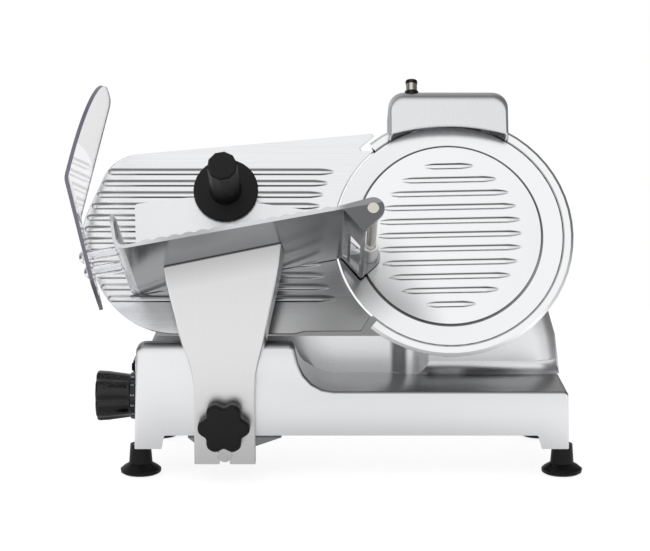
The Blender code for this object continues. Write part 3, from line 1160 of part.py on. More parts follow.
def guard_sheet():
    """Corners of the bent guard: its outline in (n, distance above the bend), bend points included."""
    lower = [(GUARD_BACK + 0.036, -GUARD_LOWER_LENGTH, 0.004), (TRAY_FRONT, -GUARD_LOWER_LENGTH, 0.004)]
    upper = [(TRAY_FRONT, GUARD_UPPER_LENGTH, GUARD_CORNER_RADIUS), (GUARD_BACK, GUARD_UPPER_LENGTH, 0.009)]
    bend_front, bend_back = (TRAY_FRONT, 0), (GUARD_BACK, 0)
    below = rounded([(*bend_back, 0), *lower, (*bend_front, 0)], radians(30))
    above = rounded([(*bend_front, 0), *upper, (*bend_back, 0)], radians(12))
    return below, above


def hand_guard(clear, frame):
    """The clear bent sheet between the operator's hand and the tray, in the blade's axes."""
    below, above = guard_sheet()
    up = Vector((sin(GUARD_UPPER_LEAN), cos(GUARD_UPPER_LEAN)))
    down = Vector((-sin(GUARD_LOWER_LEAN), cos(GUARD_LOWER_LEAN)))
    out_up, out_down = Vector((-up.y, up.x)), Vector((-down.y, down.x))
    mitre = (out_up + out_down).normalized()
    mitre = mitre / mitre.dot(out_up)
    bend = Vector(guard_bend())
    form = bmesh.new()
    sides = []
    for thickness in (0, GUARD_THICKNESS):
        made = {}
        for outline, along, out in ((below, down, out_down), (above, up, out_up)):
            loop = []
            for n, distance in outline:
                key = (round(n, 6), round(distance, 6))
                if key not in made:
                    shift = mitre if abs(distance) < 1e-9 else out
                    place = bend + along * distance + shift * thickness
                    toe = GUARD_TOE * (n - GUARD_BACK)
                    made[key] = form.verts.new((place.x + toe, place.y, n))
                loop.append(made[key])
            form.faces.new(loop)
        sides.append(made)
    rim = [(round(n, 6), round(distance, 6)) for n, distance in below + above[1:-1]]
    for one, other in zip(rim, rim[1:] + rim[:1]):
        form.faces.new((sides[0][one], sides[0][other], sides[1][other], sides[1][one]))
    return piece("hand_guard", form, clear, frame)


def guard_fixings(guard, clear, steel, frame):
    """The clear posts that hold the guard off the fence, and their dome screws."""
    fence = -TRAY_LENGTH
    for n, name in zip(POST_PLACES, ("near", "far")):
        root_u = TRAY_ROD_U + fence * cos(TRAY_SLOPE) - POST_HEIGHT * sin(TRAY_SLOPE)
        root_v = TRAY_ROD_V + fence * sin(TRAY_SLOPE) + POST_HEIGHT * cos(TRAY_SLOPE)
        reach = post_reach(root_u, root_v, n)
        length = reach - SEAT * 3
        bore = SCREW_RADIUS + SEAT
        post = [(bore, -SEAT), (POST_RADIUS, -SEAT), (POST_RADIUS, -length), (bore, -length)]
        collar = piece(f"guard_post_{name}", turned(post, 16, "X"), clear, frame, (fence, POST_HEIGHT, n))
        cut(collar, guard_wedge(reach - 2 * SEAT))
        outside = reach + GUARD_THICKNESS + 0.0022
        inside = TRAY_WALL + 0.001
        head = [(0, -outside - 0.0042), (0.0040, -outside - 0.0034), (0.0064, -outside - 0.0010),
                (0.0066, -outside), (SCREW_RADIUS, -outside), (SCREW_RADIUS, inside), (0, inside)]
        piece(f"guard_screw_{name}", turned(head, 14, "X"), steel, frame, (fence, POST_HEIGHT, n))
        along = Vector((cos(TRAY_SLOPE), sin(TRAY_SLOPE)))
        ring = []
        for distance in (-0.002, reach + 0.02):
            middle = Vector((root_u, root_v)) - along * distance
            side = Vector((-along.y, along.x))
            ring.append([(middle.x + side.x * x, middle.y + side.y * x, n + y)
                         for x, y in circle(SCREW_RADIUS + SEAT, 12)])
        cut(guard, stacked(ring))


def post_reach(root_u, root_v, n):
    """How far the lower guard sheet lies from the fence, along the tray's slope."""
    normal = Vector((cos(GUARD_LOWER_LEAN), sin(GUARD_LOWER_LEAN)))
    along = Vector((cos(TRAY_SLOPE), sin(TRAY_SLOPE)))
    bend = Vector(guard_bend()) + Vector((GUARD_TOE * (n - GUARD_BACK), 0))
    return (Vector((root_u, root_v)) - bend).dot(normal) / along.dot(normal)


def guard_wedge(reach):
    """Trims a post's outer end to the guard's slant, in the post's own axes."""
    tilt = tan(GUARD_LOWER_LEAN - TRAY_SLOPE)
    far = -reach - 0.03
    outline = [(-reach + tilt * 0.02, -0.02), (-reach - tilt * 0.02, 0.02), (far, 0.02), (far, -0.02)]
    return prism(outline, -0.02, 0.02)


def pusher(surface, dark, steel, frame):
    """The meat pusher: its rod, its plate with hub and spikes, and its black handle with a disc."""
    rod_start = TRAY_BACK + 0.0012 + SEAT
    piece("pusher_rod", rod(PUSHER_ROD_RADIUS, rod_start, TRAY_FRONT + 0.0005, 20), steel, frame)
    hub_start = TRAY_BACK + LUG_THICKNESS - 0.0015 + 0.0008
    clear = TRAY_TOP + TRAY_RIB_HEIGHT + 0.0015
    corners = [(-PUSHER_LENGTH, clear, 0.002), (-PUSHER_LENGTH + 0.011, PUSHER_HEIGHT, 0.004),
               (-PUSHER_LENGTH + PUSHER_CREST, PUSHER_HEIGHT - 0.0035, 0.060), (-0.110, 0.0715, 0.060),
               (-0.055, 0.0525, 0.030), (-0.012, 0.016, 0.012), (0.004, 0.0074, 0), (0.0074, -0.004, 0),
               (-0.0062, -0.006, 0), (-0.020, clear, 0.006)]
    sheet = prism(rounded(corners, radians(14)), PUSHER_FACE - PUSHER_PLATE, PUSHER_FACE)
    plate = piece("pusher_arm", sheet, surface, frame)
    join(plate, rod(HUB_RADIUS, hub_start, hub_start + HUB_LENGTH, 24))
    spikes = []
    for row in range(3):
        for column in range(4):
            a, b = -0.222 + column * 0.036, 0.024 + row * 0.018
            root, tip = PUSHER_FACE - PUSHER_PLATE + 0.001, PUSHER_FACE - PUSHER_PLATE - SPIKE_LENGTH
            spikes.append(turned([(0, root), (0.0022, root), (0, tip)], 6, "Z", (a, b)))
    join(plate, gathered(spikes))
    cut(plate, rod(PUSHER_ROD_RADIUS + SEAT, -0.01, 0.08, 20))
    sides = 10
    steps = 30
    base = PUSHER_FACE + SEAT
    rim, end = DISC_THICKNESS, GRIP_LENGTH + DISC_THICKNESS
    rows = [(0, DISC_RADIUS - 0.0012, 0), (0.0012, DISC_RADIUS, 0), (rim - 0.0012, DISC_RADIUS, 0),
            (rim, DISC_RADIUS - 0.0012, 0), (rim + 0.0005, GRIP_RADIUS + 0.002, 0),
            (rim + 0.006, GRIP_RADIUS + 0.0008, 1), (end - 0.002, GRIP_RADIUS + 0.0005, 1),
            (end, GRIP_RADIUS - 0.001, 1)]
    rings = []
    for level, radius, faceted in rows:
        ring = []
        for step in range(steps):
            turn = 2 * pi * step / steps
            within = (turn % (2 * pi / sides)) - pi / sides
            reach = radius * (cos(pi / sides) / cos(within) if faceted else 1)
            ring.append((reach * cos(turn), reach * sin(turn), base + level))
        rings.append(ring)
    centre = knob_centre()
    piece("pusher_knob", stacked(rings), dark, frame, (*centre, 0))


def knob_centre():
    """The pusher knob's place in the tray's axes."""
    du, dv = -0.2445 - TRAY_ROD_U, 0.0370 - TRAY_ROD_V
    return (du * cos(TRAY_SLOPE) + dv * sin(TRAY_SLOPE), -du * sin(TRAY_SLOPE) + dv * cos(TRAY_SLOPE))


def motor_capacitor(surface):
    """The motor's run capacitor, lying on the bottom plate."""
    centre = (REAR_BOX_FRONT + CAPACITOR_PLACE, SKIRT_BOTTOM + 0.0025 + SEAT + CAPACITOR_RADIUS)
    end = REAR_BOX_RIGHT - CAPACITOR_SETBACK
    piece("motor_capacitor", rod(CAPACITOR_RADIUS, end - CAPACITOR_LENGTH, end, 20, "X", centre), surface)


def build():
    """Makes the whole slicer."""
    for old in list(bpy.data.objects):
        bpy.data.objects.remove(old)
    cast = material("cast_aluminium", (0.70, 0.71, 0.73), 0.38, 0.9)
    bright = material("polished_aluminium", (0.82, 0.83, 0.85), 0.22, 1.0)
    satin = material("satin_aluminium", (0.62, 0.63, 0.65), 0.34, 1.0)
    steel = material("bright_steel", (0.72, 0.73, 0.75), 0.16, 1.0)
    blade_steel = material("blade_steel", (0.80, 0.81, 0.83), 0.20, 1.0)
    black = material("black_plastic", (0.02, 0.02, 0.022), 0.30, 0.0)
    matte = material("matte_black_plastic", (0.03, 0.03, 0.033), 0.60, 0.0)
    rubber = material("black_rubber", (0.015, 0.015, 0.016), 0.75, 0.0)
    clear = material("clear_acrylic", (0.90, 0.89, 0.94), 0.05, 0.0)
    stone = material("grey_stone", (0.35, 0.33, 0.31), 0.90, 0.0)
    grey = material("grey_enamel", (0.25, 0.26, 0.28), 0.50, 0.0)

    blade_frame = empty("blade_frame", (BLADE_X, BLADE_Y, BLADE_Z), (pi / 2 - BLADE_LEAN, 0, 0))
    tray_frame = empty("tray_frame", (TRAY_ROD_U, TRAY_ROD_V, 0), (0, 0, TRAY_SLOPE), blade_frame)

    base_casting(cast)
    feet(rubber, steel)
    bottom_plate(steel)
    motor_housing(cast)
    drive(blade_frame, steel, grey, satin, rubber)
    blade(blade_steel, blade_frame)
    blade_cover(bright, steel, black, blade_frame)
    ring_guard(bright, blade_frame)
    slice_deflector(steel)
    sharpener(cast, stone, steel, black, blade_frame)
    gauge_plate(bright, blade_frame)
    gauge_slide(satin, steel, black, blade_frame)
    switch_group(cast, black)
    cord_gland(black)
    motor_capacitor(grey)
    carriage_slide(steel, satin, matte)
    carriage_arm(satin, black, steel)
    tray(satin, tray_frame)
    guard = hand_guard(clear, blade_frame)
    guard_fixings(guard, clear, steel, tray_frame)
    pusher(satin, matte, steel, tray_frame)


build()
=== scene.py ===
"""Food slicer: finishes, fine pieces, floor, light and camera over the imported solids."""

import json
from math import cos, pi, radians, sin, sqrt

import bmesh
import bpy
import numpy as np
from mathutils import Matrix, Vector


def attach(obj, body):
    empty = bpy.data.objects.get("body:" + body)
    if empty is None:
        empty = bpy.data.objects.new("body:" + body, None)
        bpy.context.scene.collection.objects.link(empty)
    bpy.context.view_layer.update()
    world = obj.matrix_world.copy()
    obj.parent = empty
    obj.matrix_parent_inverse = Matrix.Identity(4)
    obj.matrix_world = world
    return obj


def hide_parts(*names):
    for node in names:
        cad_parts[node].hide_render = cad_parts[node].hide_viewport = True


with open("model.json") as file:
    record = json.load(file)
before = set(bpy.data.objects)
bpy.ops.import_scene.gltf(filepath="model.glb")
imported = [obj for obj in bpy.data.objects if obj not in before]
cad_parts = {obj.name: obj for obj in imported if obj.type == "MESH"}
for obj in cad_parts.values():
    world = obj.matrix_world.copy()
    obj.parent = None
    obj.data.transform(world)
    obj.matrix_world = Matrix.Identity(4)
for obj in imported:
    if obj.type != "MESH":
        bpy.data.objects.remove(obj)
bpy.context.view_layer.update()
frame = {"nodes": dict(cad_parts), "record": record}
nodes = frame["nodes"]

# The knife's own axes start at its centre, and the tray's at the pusher rod
LEAN = radians(24)
BLADE_CENTRE = np.array((0.133, 0.0265, 0.252))
ACROSS = np.array((1.0, 0.0, 0.0))
UP = np.array((0.0, sin(LEAN), cos(LEAN)))
OUT = np.array((0.0, -cos(LEAN), sin(LEAN)))
TRAY_SLOPE = radians(10.6)
TRAY_ROD = (-0.088, -0.0265)
TRAY_UNDERSIDE = 0.0046
DIAL_CENTRE = np.array((-0.2085, -0.0015, 0.0772))
STAR_CENTRE = np.array((-0.1105, -0.0875, 0.065))


# Node helpers

def linked(tree, kind, values=None, **settings):
    """A node with its settings and its socket values or links."""
    node = tree.nodes.new(kind)
    for name, value in settings.items():
        setattr(node, name, value)
    for name, value in (values or {}).items():
        socket = node.inputs[name]
        if isinstance(value, bpy.types.NodeSocket):
            tree.links.new(value, socket)
        else:
            socket.default_value = value
    return node


def maths(tree, operation, *values):
    """The result of a maths node."""
    return linked(tree, "ShaderNodeMath", dict(enumerate(values)), operation=operation).outputs[0]


def vectors(tree, operation, *values):
    """The result of a vector maths node, which is a number for a product, length or distance."""
    node = linked(tree, "ShaderNodeVectorMath", dict(enumerate(values)), operation=operation)
    return node.outputs["Value" if operation in ("DOT_PRODUCT", "LENGTH", "DISTANCE") else "Vector"]


def eased(tree, value, start, end, low=0.0, high=1.0, kind="SMOOTHSTEP"):
    """A value that goes from low at the start to high at the end, and stays level beyond them."""
    values = {"Value": value, "From Min": start, "From Max": end, "To Min": low, "To Max": high}
    return linked(tree, "ShaderNodeMapRange", values, interpolation_type=kind).outputs[0]


PATTERN_INPUTS = [("Tone Spread", "NodeSocketFloat", 0.1), ("Rough", "NodeSocketFloat", 0.3),
                  ("Rough Spread", "NodeSocketFloat", 0.1), ("Depth", "NodeSocketFloat", 0.00002)]
PATTERN_OUTPUTS = [("Tone", "NodeSocketFloat"), ("Roughness", "NodeSocketFloat"),
                   ("Normal", "NodeSocketVector")]
SQUEEZE_INPUT = ("Squeeze", "NodeSocketVector", (1, 1, 1))


def new_group(name, own_input, own_outputs=()):
    """An empty node group with a pattern's named sockets and its own, and its two end nodes."""
    group = bpy.data.node_groups.new(name, "ShaderNodeTree")
    group.interface.new_socket("Place", in_out="INPUT", socket_type="NodeSocketVector")
    for label, kind, value in (own_input, *PATTERN_INPUTS):
        group.interface.new_socket(label, in_out="INPUT", socket_type=kind).default_value = value
    for label, kind in (*PATTERN_OUTPUTS, *own_outputs):
        group.interface.new_socket(label, in_out="OUTPUT", socket_type=kind)
    return group, group.nodes.new("NodeGroupInput"), group.nodes.new("NodeGroupOutput")


def finish_group(group, start, end, swing, height):
    """Tone and roughness swing with a pattern, and a bump follows its height."""
    given = start.outputs
    rough = maths(group, "MULTIPLY_ADD", swing, given["Rough Spread"], given["Rough"])
    bump = linked(group, "ShaderNodeBump",
                  {"Height": height, "Distance": given["Depth"], "Strength": 1.0})
    tone = maths(group, "MULTIPLY_ADD", swing, given["Tone Spread"], 1.0)
    group.links.new(tone, end.inputs["Tone"])
    group.links.new(rough, end.inputs["Roughness"])
    group.links.new(bump.outputs[0], end.inputs["Normal"])
    return group


def brushing_group():
    """Fine lines: noise on coordinates squeezed along one way, as tone, roughness and a bump."""
    group, start, end = new_group("brushed_lines", SQUEEZE_INPUT)
    squeezed = vectors(group, "MULTIPLY", start.outputs["Place"], start.outputs["Squeeze"])
    noise = linked(group, "ShaderNodeTexNoise", {"Vector": squeezed, "Scale": 1.0, "Detail": 3.0,
                                                 "Roughness": 0.6}).outputs["Fac"]
    return finish_group(group, start, end, maths(group, "SUBTRACT", noise, 0.5), noise)


def turning_group():
    """Brushed lines round the knife: their place is the distance from its axis and the turn."""
    group, start, end = new_group("lines_round_the_knife", SQUEEZE_INPUT,
                                  [("Radius", "NodeSocketFloat")])
    from_centre = vectors(group, "SUBTRACT", start.outputs["Place"], tuple(BLADE_CENTRE))
    across = vectors(group, "DOT_PRODUCT", from_centre, tuple(ACROSS))
    up = vectors(group, "DOT_PRODUCT", from_centre, tuple(UP))
    flat = linked(group, "ShaderNodeCombineXYZ", {"X": across, "Y": up}).outputs[0]
    radius = vectors(group, "LENGTH", flat)
    angle = maths(group, "ARCTAN2", up, across)
    around = linked(group, "ShaderNodeCombineXYZ", {"X": radius, "Y": angle}).outputs[0]
    pattern = linked(group, "ShaderNodeGroup", node_tree=BRUSHED)
    group.links.new(around, pattern.inputs["Place"])
    for label, *_ in (SQUEEZE_INPUT, *PATTERN_INPUTS):
        group.links.new(start.outputs[label], pattern.inputs[label])
    for label, _ in PATTERN_OUTPUTS:
        group.links.new(pattern.outputs[label], end.inputs[label])
    group.links.new(radius, end.inputs["Radius"])
    return group


def grain_group():
    """Fine even grain and soft handling marks, as tone, roughness and a bump."""
    group, start, end = new_group("fine_grain", ("Scale", "NodeSocketFloat", 900.0))
    place = start.outputs["Place"]
    fine = linked(group, "ShaderNodeTexNoise", {"Vector": place, "Scale": start.outputs["Scale"],
                                                "Detail": 2.0}).outputs["Fac"]
    broad = linked(group, "ShaderNodeTexNoise",
                   {"Vector": place, "Scale": 14.0, "Detail": 4.0}).outputs["Fac"]
    swing = maths(group, "SUBTRACT", maths(group, "ADD", fine, broad), 1.0)
    return finish_group(group, start, end, swing, fine)


BRUSHED = brushing_group()
TURNED = turning_group()
GRAIN = grain_group()


# Materials

RING_CORE = 0.4    # the share of a painted shade ring's half width that has its full darkness


def shaded(name, colour, metallic, effect, values, crease=0.0, lines=(), fades=(), spots=(),
           top=None, **fixed):
    """A material whose tone, roughness and normal come from one of the effects.

    All that darkens the tone is painted shade: a share of it where it is marked on a piece, lines
    that are dark rings round the knife (radius, half width, share), top, which darkens what faces
    up (from, to, share), soft dark spots (place, inner radius, outer radius, share), and fades that
    lie along a straight way (way, dark level, plain level, share).
    """
    surface = bpy.data.materials.new(name)
    surface.use_nodes = True
    tree = surface.node_tree
    shader = tree.nodes["Principled BSDF"]
    coordinates = linked(tree, "ShaderNodeTexCoord").outputs
    place = coordinates["Object"]
    pattern = linked(tree, "ShaderNodeGroup", node_tree=effect)
    tree.links.new(place, pattern.inputs["Place"])
    for label, value in values.items():
        pattern.inputs[label].default_value = value
    # Every share gathered below darkens the tone as painted shade.
    painted_shade_shares = []
    if crease:
        marked = linked(tree, "ShaderNodeAttribute", attribute_name="crease").outputs["Fac"]
        painted_shade_shares.append(maths(tree, "MULTIPLY_ADD", marked, -crease, 1.0))
    for radius, half, share in lines:
        away = maths(tree, "SUBTRACT", pattern.outputs["Radius"], radius)
        away = maths(tree, "ABSOLUTE", away)
        painted_shade_shares.append(eased(tree, away, half * RING_CORE, half, 1 - share))
    if top:
        facing = linked(tree, "ShaderNodeSeparateXYZ", {0: coordinates["Normal"]}).outputs["Z"]
        painted_shade_shares.append(eased(tree, facing, top[0], top[1], 1.0, 1 - top[2]))
    for middle, inner, outer, share in spots:
        away = vectors(tree, "DISTANCE", place, tuple(middle))
        painted_shade_shares.append(eased(tree, away, inner, outer, 1 - share))
    for way, dark, plain, share in fades:
        level = vectors(tree, "DOT_PRODUCT", place, tuple(way))
        painted_shade_shares.append(eased(tree, level, dark, plain, 1 - share, kind="LINEAR"))
    tone = pattern.outputs["Tone"]
    for share in painted_shade_shares:
        tone = maths(tree, "MULTIPLY", tone, share)
    tinted = linked(tree, "ShaderNodeVectorMath", {0: colour, "Scale": tone}, operation="SCALE")
    tree.links.new(tinted.outputs[0], shader.inputs["Base Color"])
    tree.links.new(pattern.outputs["Roughness"], shader.inputs["Roughness"])
    tree.links.new(pattern.outputs["Normal"], shader.inputs["Normal"])
    shader.inputs["Metallic"].default_value = metallic
    for label, value in fixed.items():
        shader.inputs[label.replace("_", " ")].default_value = value
    return surface


def brushed(name, colour, effect, squeeze, tone, rough, spread, depth, **more):
    """A metal with fine lines: their squeeze, tone's swing, roughness and its swing, and depth."""
    return shaded(name, colour, 1.0, effect,
                  {"Squeeze": squeeze, "Tone Spread": tone, "Rough": rough, "Rough Spread": spread,
                   "Depth": depth}, **more)


def grained(name, colour, metallic, scale, tone, rough, spread, depth, **more):
    """A material with fine grain: its scale, tone's swing, roughness and its swing, and depth."""
    return shaded(name, colour, metallic, GRAIN,
                  {"Scale": scale, "Tone Spread": tone, "Rough": rough, "Rough Spread": spread,
                   "Depth": depth}, **more)


def clear_sheet(name, colour, roughness, bending):
    """Clear plastic, with how much it bends the light."""
    surface = bpy.data.materials.new(name)
    surface.use_nodes = True
    shader = surface.node_tree.nodes["Principled BSDF"]
    shader.inputs["Base Color"].default_value = (*colour, 1)
    shader.inputs["Roughness"].default_value = roughness
    shader.inputs["Transmission Weight"].default_value = 1.0
    shader.inputs["IOR"].default_value = bending
    return surface


def at_blade(u, v, n=0.0):
    """One place given across, up and out from the knife's centre."""
    return Vector(BLADE_CENTRE) + Vector(ACROSS) * u + Vector(UP) * v + Vector(OUT) * n


ALONG_X = (5.0, 800.0, 800.0)
TRAY_UP = Vector(UP) * cos(TRAY_SLOPE) - Vector(ACROSS) * sin(TRAY_SLOPE)
TRAY_LEVEL = at_blade(*TRAY_ROD) @ TRAY_UP + TRAY_UNDERSIDE

# The top setting darkens what faces up on the castings: painted shade for a darker reflection from
# above.
cast_metal = grained(
    "silver_casting", (0.95, 0.955, 0.97), 0.97, scale=1500.0, tone=0.03, rough=0.34, spread=0.06,
    depth=0.00002, top=(0.35, 0.95, 0.26))
# The top setting darkens the deck and what else faces up on the base: painted shade for its darker
# reflections.
base_metal = grained(
    "silver_base_casting", (0.885, 0.89, 0.905), 0.97, scale=1500.0, tone=0.03, rough=0.29,
    spread=0.06, depth=0.00001, top=(0.03, 0.44, 0.62))
# The top setting darkens the hood's rolled top edge: painted shade for a darker reflection from
# above.
sharpener_metal = grained(
    "satin_silver_cover", (0.84, 0.845, 0.86), 0.90, scale=1800.0, tone=0.03, rough=0.27,
    spread=0.06, depth=0.000003, top=(0.44, 0.92, 0.34))
# The marked lines along the ribs are painted shade, and the two spots are painted shade for the
# dark reflections of the tray and arm low on the plate.
plate_metal = brushed(
    "brushed_gauge_plate", (0.85, 0.855, 0.865), BRUSHED, squeeze=ALONG_X, tone=0.20, rough=0.20,
    spread=0.10, depth=0.000008, crease=0.75,
    spots=((at_blade(-0.100, -0.095), 0.020, 0.110, 0.64),
           (at_blade(-0.190, -0.130), 0.020, 0.100, 0.40)))
# The marked lines along the ribs and the rim are painted shade, and the spots are painted shade for
# dark reflections at the lower left of the rim.
cover_metal = grained(
    "polished_cover", (0.90, 0.905, 0.915), 1.0, scale=900.0, tone=0.015, rough=0.15, spread=0.04,
    depth=0.000003, crease=0.85,
    spots=((at_blade(-0.095, -0.060), 0.010, 0.080, 0.44),
           (at_blade(-0.056, -0.102), 0.010, 0.058, 0.42)))
# The two dark rings, by the cover's rim and near the knife's edge, are painted shade, and the spot
# is a painted dark reflection beside the tray's lug that turns with the knife.
knife_metal = brushed(
    "ground_knife", (0.90, 0.905, 0.92), TURNED, squeeze=(2500.0, 1.5, 1.0), tone=0.10, rough=0.18,
    spread=0.08, depth=0.000006, lines=((0.1030, 0.0010, 0.80), (0.1252, 0.0009, 0.45)),
    spots=((at_blade(-0.105, -0.045), 0.010, 0.075, 0.60),))
# The dark ring at its inner edge by the knife is painted shade.
ring_metal = brushed(
    "turned_guard_ring", (0.92, 0.925, 0.935), TURNED, squeeze=(2200.0, 1.5, 1.0), tone=0.08,
    rough=0.20, spread=0.08, depth=0.000006, lines=((0.1260, 0.0016, 0.55),))
# The fades are painted shade: a thin dark line where the arm meets the tray and a darker band below
# it.
arm_metal = brushed(
    "brushed_arm", (0.80, 0.80, 0.805), BRUSHED, squeeze=(700.0, 700.0, 8.0), tone=0.05,
    rough=0.30, spread=0.08, depth=0.000006,
    fades=((TRAY_UP, TRAY_LEVEL - 0.0012, TRAY_LEVEL - 0.0016, 0.70),
           (TRAY_UP, TRAY_LEVEL, TRAY_LEVEL - 0.026, 0.30)))
# Its colour, darker than the other aluminium, is partly painted shade for its darker reflections.
# The fade darkens its underside and the spots darken it at the lugs and by the knife: painted
# shade.
tray_metal = brushed(
    "satin_tray", (0.66, 0.67, 0.69), BRUSHED, squeeze=ALONG_X, tone=0.08, rough=0.15, spread=0.06,
    depth=0.000005, fades=((TRAY_UP, TRAY_LEVEL, TRAY_LEVEL + 0.0001, 0.50),),
    spots=((at_blade(-0.092, -0.026, 0.187), 0.022, 0.038, 0.57),
           (at_blade(-0.268, -0.088, 0.187), 0.030, 0.062, 0.32),
           (at_blade(-0.082, -0.040, 0.080), 0.040, 0.090, 0.40)))
pusher_metal = brushed(
    "satin_pusher_plate", (0.90, 0.905, 0.92), BRUSHED, squeeze=ALONG_X, tone=0.05, rough=0.34,
    spread=0.06, depth=0.000005)
# The spot darkens the bright steel at the pusher rod's end on the near lug: painted shade.
bright_steel = grained(
    "bright_turned_steel", (0.80, 0.805, 0.82), 1.0, scale=700.0, tone=0.04, rough=0.14,
    spread=0.05, depth=0.000004, spots=((at_blade(*TRAY_ROD, 0.19), 0.005, 0.012, 0.45),))
nickel = grained(
    "nickel_plunger", (0.66, 0.63, 0.57), 1.0, scale=700.0, tone=0.04, rough=0.18, spread=0.05,
    depth=0.000004)
gloss_black = grained(
    "glossy_black_plastic", (0.006, 0.006, 0.007), 0.0, scale=600.0, tone=0.2, rough=0.16,
    spread=0.06, depth=0.000004, Specular_IOR_Level=0.45)
matte_black = grained(
    "matte_black_plastic", (0.010, 0.010, 0.011), 0.0, scale=1200.0, tone=0.2, rough=0.48,
    spread=0.08, depth=0.00002, Specular_IOR_Level=0.30)
black_rubber = grained(
    "moulded_rubber", (0.007, 0.007, 0.008), 0.0, scale=900.0, tone=0.3, rough=0.38, spread=0.12,
    depth=0.00002, Specular_IOR_Level=0.28)
stone_grit = grained(
    "bonded_grit", (0.30, 0.28, 0.26), 0.0, scale=1600.0, tone=0.6, rough=0.9, spread=0.1,
    depth=0.0002)
grey_enamel = grained(
    "grey_enamel", (0.22, 0.23, 0.25), 0.0, scale=900.0, tone=0.1, rough=0.45, spread=0.1,
    depth=0.00002)
guard_edge = grained(
    "tinted_guard_edge", (0.27, 0.25, 0.34), 0.0, scale=500.0, tone=0.15, rough=0.22, spread=0.06,
    depth=0.00001)
white_marks = grained(
    "white_marks", (0.80, 0.80, 0.79), 0.0, scale=3000.0, tone=0.05, rough=0.5, spread=0.1,
    depth=0.000005)
clear_plastic = clear_sheet("clear_acrylic", (0.93, 0.93, 0.95), 0.02, 1.45)
guard_face = clear_sheet("clear_guard_sheet", (0.965, 0.965, 0.975), 0.01, 1.10)

FINISH = {"cast_aluminium": cast_metal, "polished_aluminium": plate_metal,
          "satin_aluminium": tray_metal, "bright_steel": bright_steel, "blade_steel": knife_metal,
          "black_plastic": gloss_black, "matte_black_plastic": matte_black,
          "black_rubber": black_rubber, "clear_acrylic": clear_plastic,
          "grey_stone": stone_grit, "grey_enamel": grey_enamel}
OWN_FINISH = {"base_casting": base_metal, "ring_guard": ring_metal, "carriage_arm": arm_metal,
              "pusher_arm": pusher_metal, "sharpener_plunger": nickel, "pusher_rod": nickel}


def smoothing_group():
    """Merges loose triangles and shades them smooth, save where two faces meet at a real edge."""
    sharpest, together = radians(32), 0.00001
    group = bpy.data.node_groups.new("smooth_but_for_edges", "GeometryNodeTree")
    group.interface.new_socket("Geometry", in_out="INPUT", socket_type="NodeSocketGeometry")
    group.interface.new_socket("Geometry", in_out="OUTPUT", socket_type="NodeSocketGeometry")
    start, end = group.nodes.new("NodeGroupInput"), group.nodes.new("NodeGroupOutput")
    merged = linked(group, "GeometryNodeMergeByDistance",
                    {"Geometry": start.outputs[0], "Distance": together})
    faces = linked(group, "GeometryNodeSetShadeSmooth",
                   {"Geometry": merged.outputs[0], "Shade Smooth": True}, domain="FACE")
    angle = group.nodes.new("GeometryNodeInputMeshEdgeAngle")
    gentle = linked(group, "FunctionNodeCompare",
                    {"A": angle.outputs["Unsigned Angle"], "B": sharpest},
                    data_type="FLOAT", operation="LESS_THAN")
    edges = linked(group, "GeometryNodeSetShadeSmooth",
                   {"Geometry": faces.outputs[0], "Shade Smooth": gentle.outputs[0]}, domain="EDGE")
    group.links.new(edges.outputs[0], end.inputs[0])
    return group


SMOOTHED = smoothing_group()
slots = {part["node"]: part["material_slot"] for part in frame["record"]["subparts"]}
for name, node in nodes.items():
    finish = OWN_FINISH.get(name, FINISH[slots[name]])
    for place in node.material_slots:
        place.material = finish
    node.modifiers.new("smoothed", "NODES").node_group = SMOOTHED


# Helpers for new pieces, each a surface worked out on a grid

def in_blade(u, v, n):
    """World places of points given across, up and out from the knife's centre."""
    u, v, n = np.broadcast_arrays(u, v, n)
    return BLADE_CENTRE + u[..., None] * ACROSS + v[..., None] * UP + n[..., None] * OUT


def in_tray(along, above, n):
    """World places of points in the tray's own axes, which start at the pusher rod."""
    u = TRAY_ROD[0] + along * cos(TRAY_SLOPE) - above * sin(TRAY_SLOPE)
    v = TRAY_ROD[1] + along * sin(TRAY_SLOPE) + above * cos(TRAY_SLOPE)
    return in_blade(u, v, n)


def woven(points, around=False):
    """Corners and four-sided faces of a grid; around joins its last column to its first."""
    rows, columns = points.shape[:2]
    index = np.arange(rows * columns).reshape(rows, columns)
    if around:
        index = np.column_stack((index, index[:, 0]))
    corners = index[:-1, :-1], index[:-1, 1:], index[1:, 1:], index[1:, :-1]
    return points.reshape(-1, 3), np.stack(corners, axis=-1).reshape(-1, 4)


def made(name, surface, finishes, body, replaced=(), crease=None, sharp=32, finish_of=None):
    """A piece from a grid, merged at its poles, faces out, smooth but for its real edges.

    Painted shade is marked at each corner, from 0 to 1, and finish_of gives each face its finish.
    """
    places, faces = surface
    mesh = bpy.data.meshes.new(name)
    mesh.from_pydata(places, [], faces)
    # The painted shade marks become a point attribute that the material reads.
    if crease is not None:
        marks = mesh.attributes.new("crease", "FLOAT", "POINT")
        marks.data.foreach_set("value", crease.ravel().astype(np.float32))
    if finish_of is not None:
        mesh.polygons.foreach_set("material_index", finish_of.astype(np.int32))
    form = bmesh.new()
    form.from_mesh(mesh)
    bmesh.ops.remove_doubles(form, verts=form.verts, dist=0.000002)
    bmesh.ops.recalc_face_normals(form, faces=form.faces)
    form.to_mesh(mesh)
    form.free()
    mesh.shade_smooth()
    mesh.set_sharp_from_angle(angle=radians(sharp))
    for finish in finishes:
        mesh.materials.append(finish)
    piece = bpy.data.objects.new(name, mesh)
    bpy.context.scene.collection.objects.link(piece)
    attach(piece, body)
    if replaced:
        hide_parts(*replaced)
    return piece


def soft(share):
    """A share from 0 to 1 with a level start and end: 3 s squared less 2 s cubed."""
    return share**2 * (3 - 2 * share)


def rounded(share):
    """How far a quarter circle comes in at a share s of its height: 1 - root of (1 - s squared)."""
    return 1 - np.sqrt(1 - share**2)


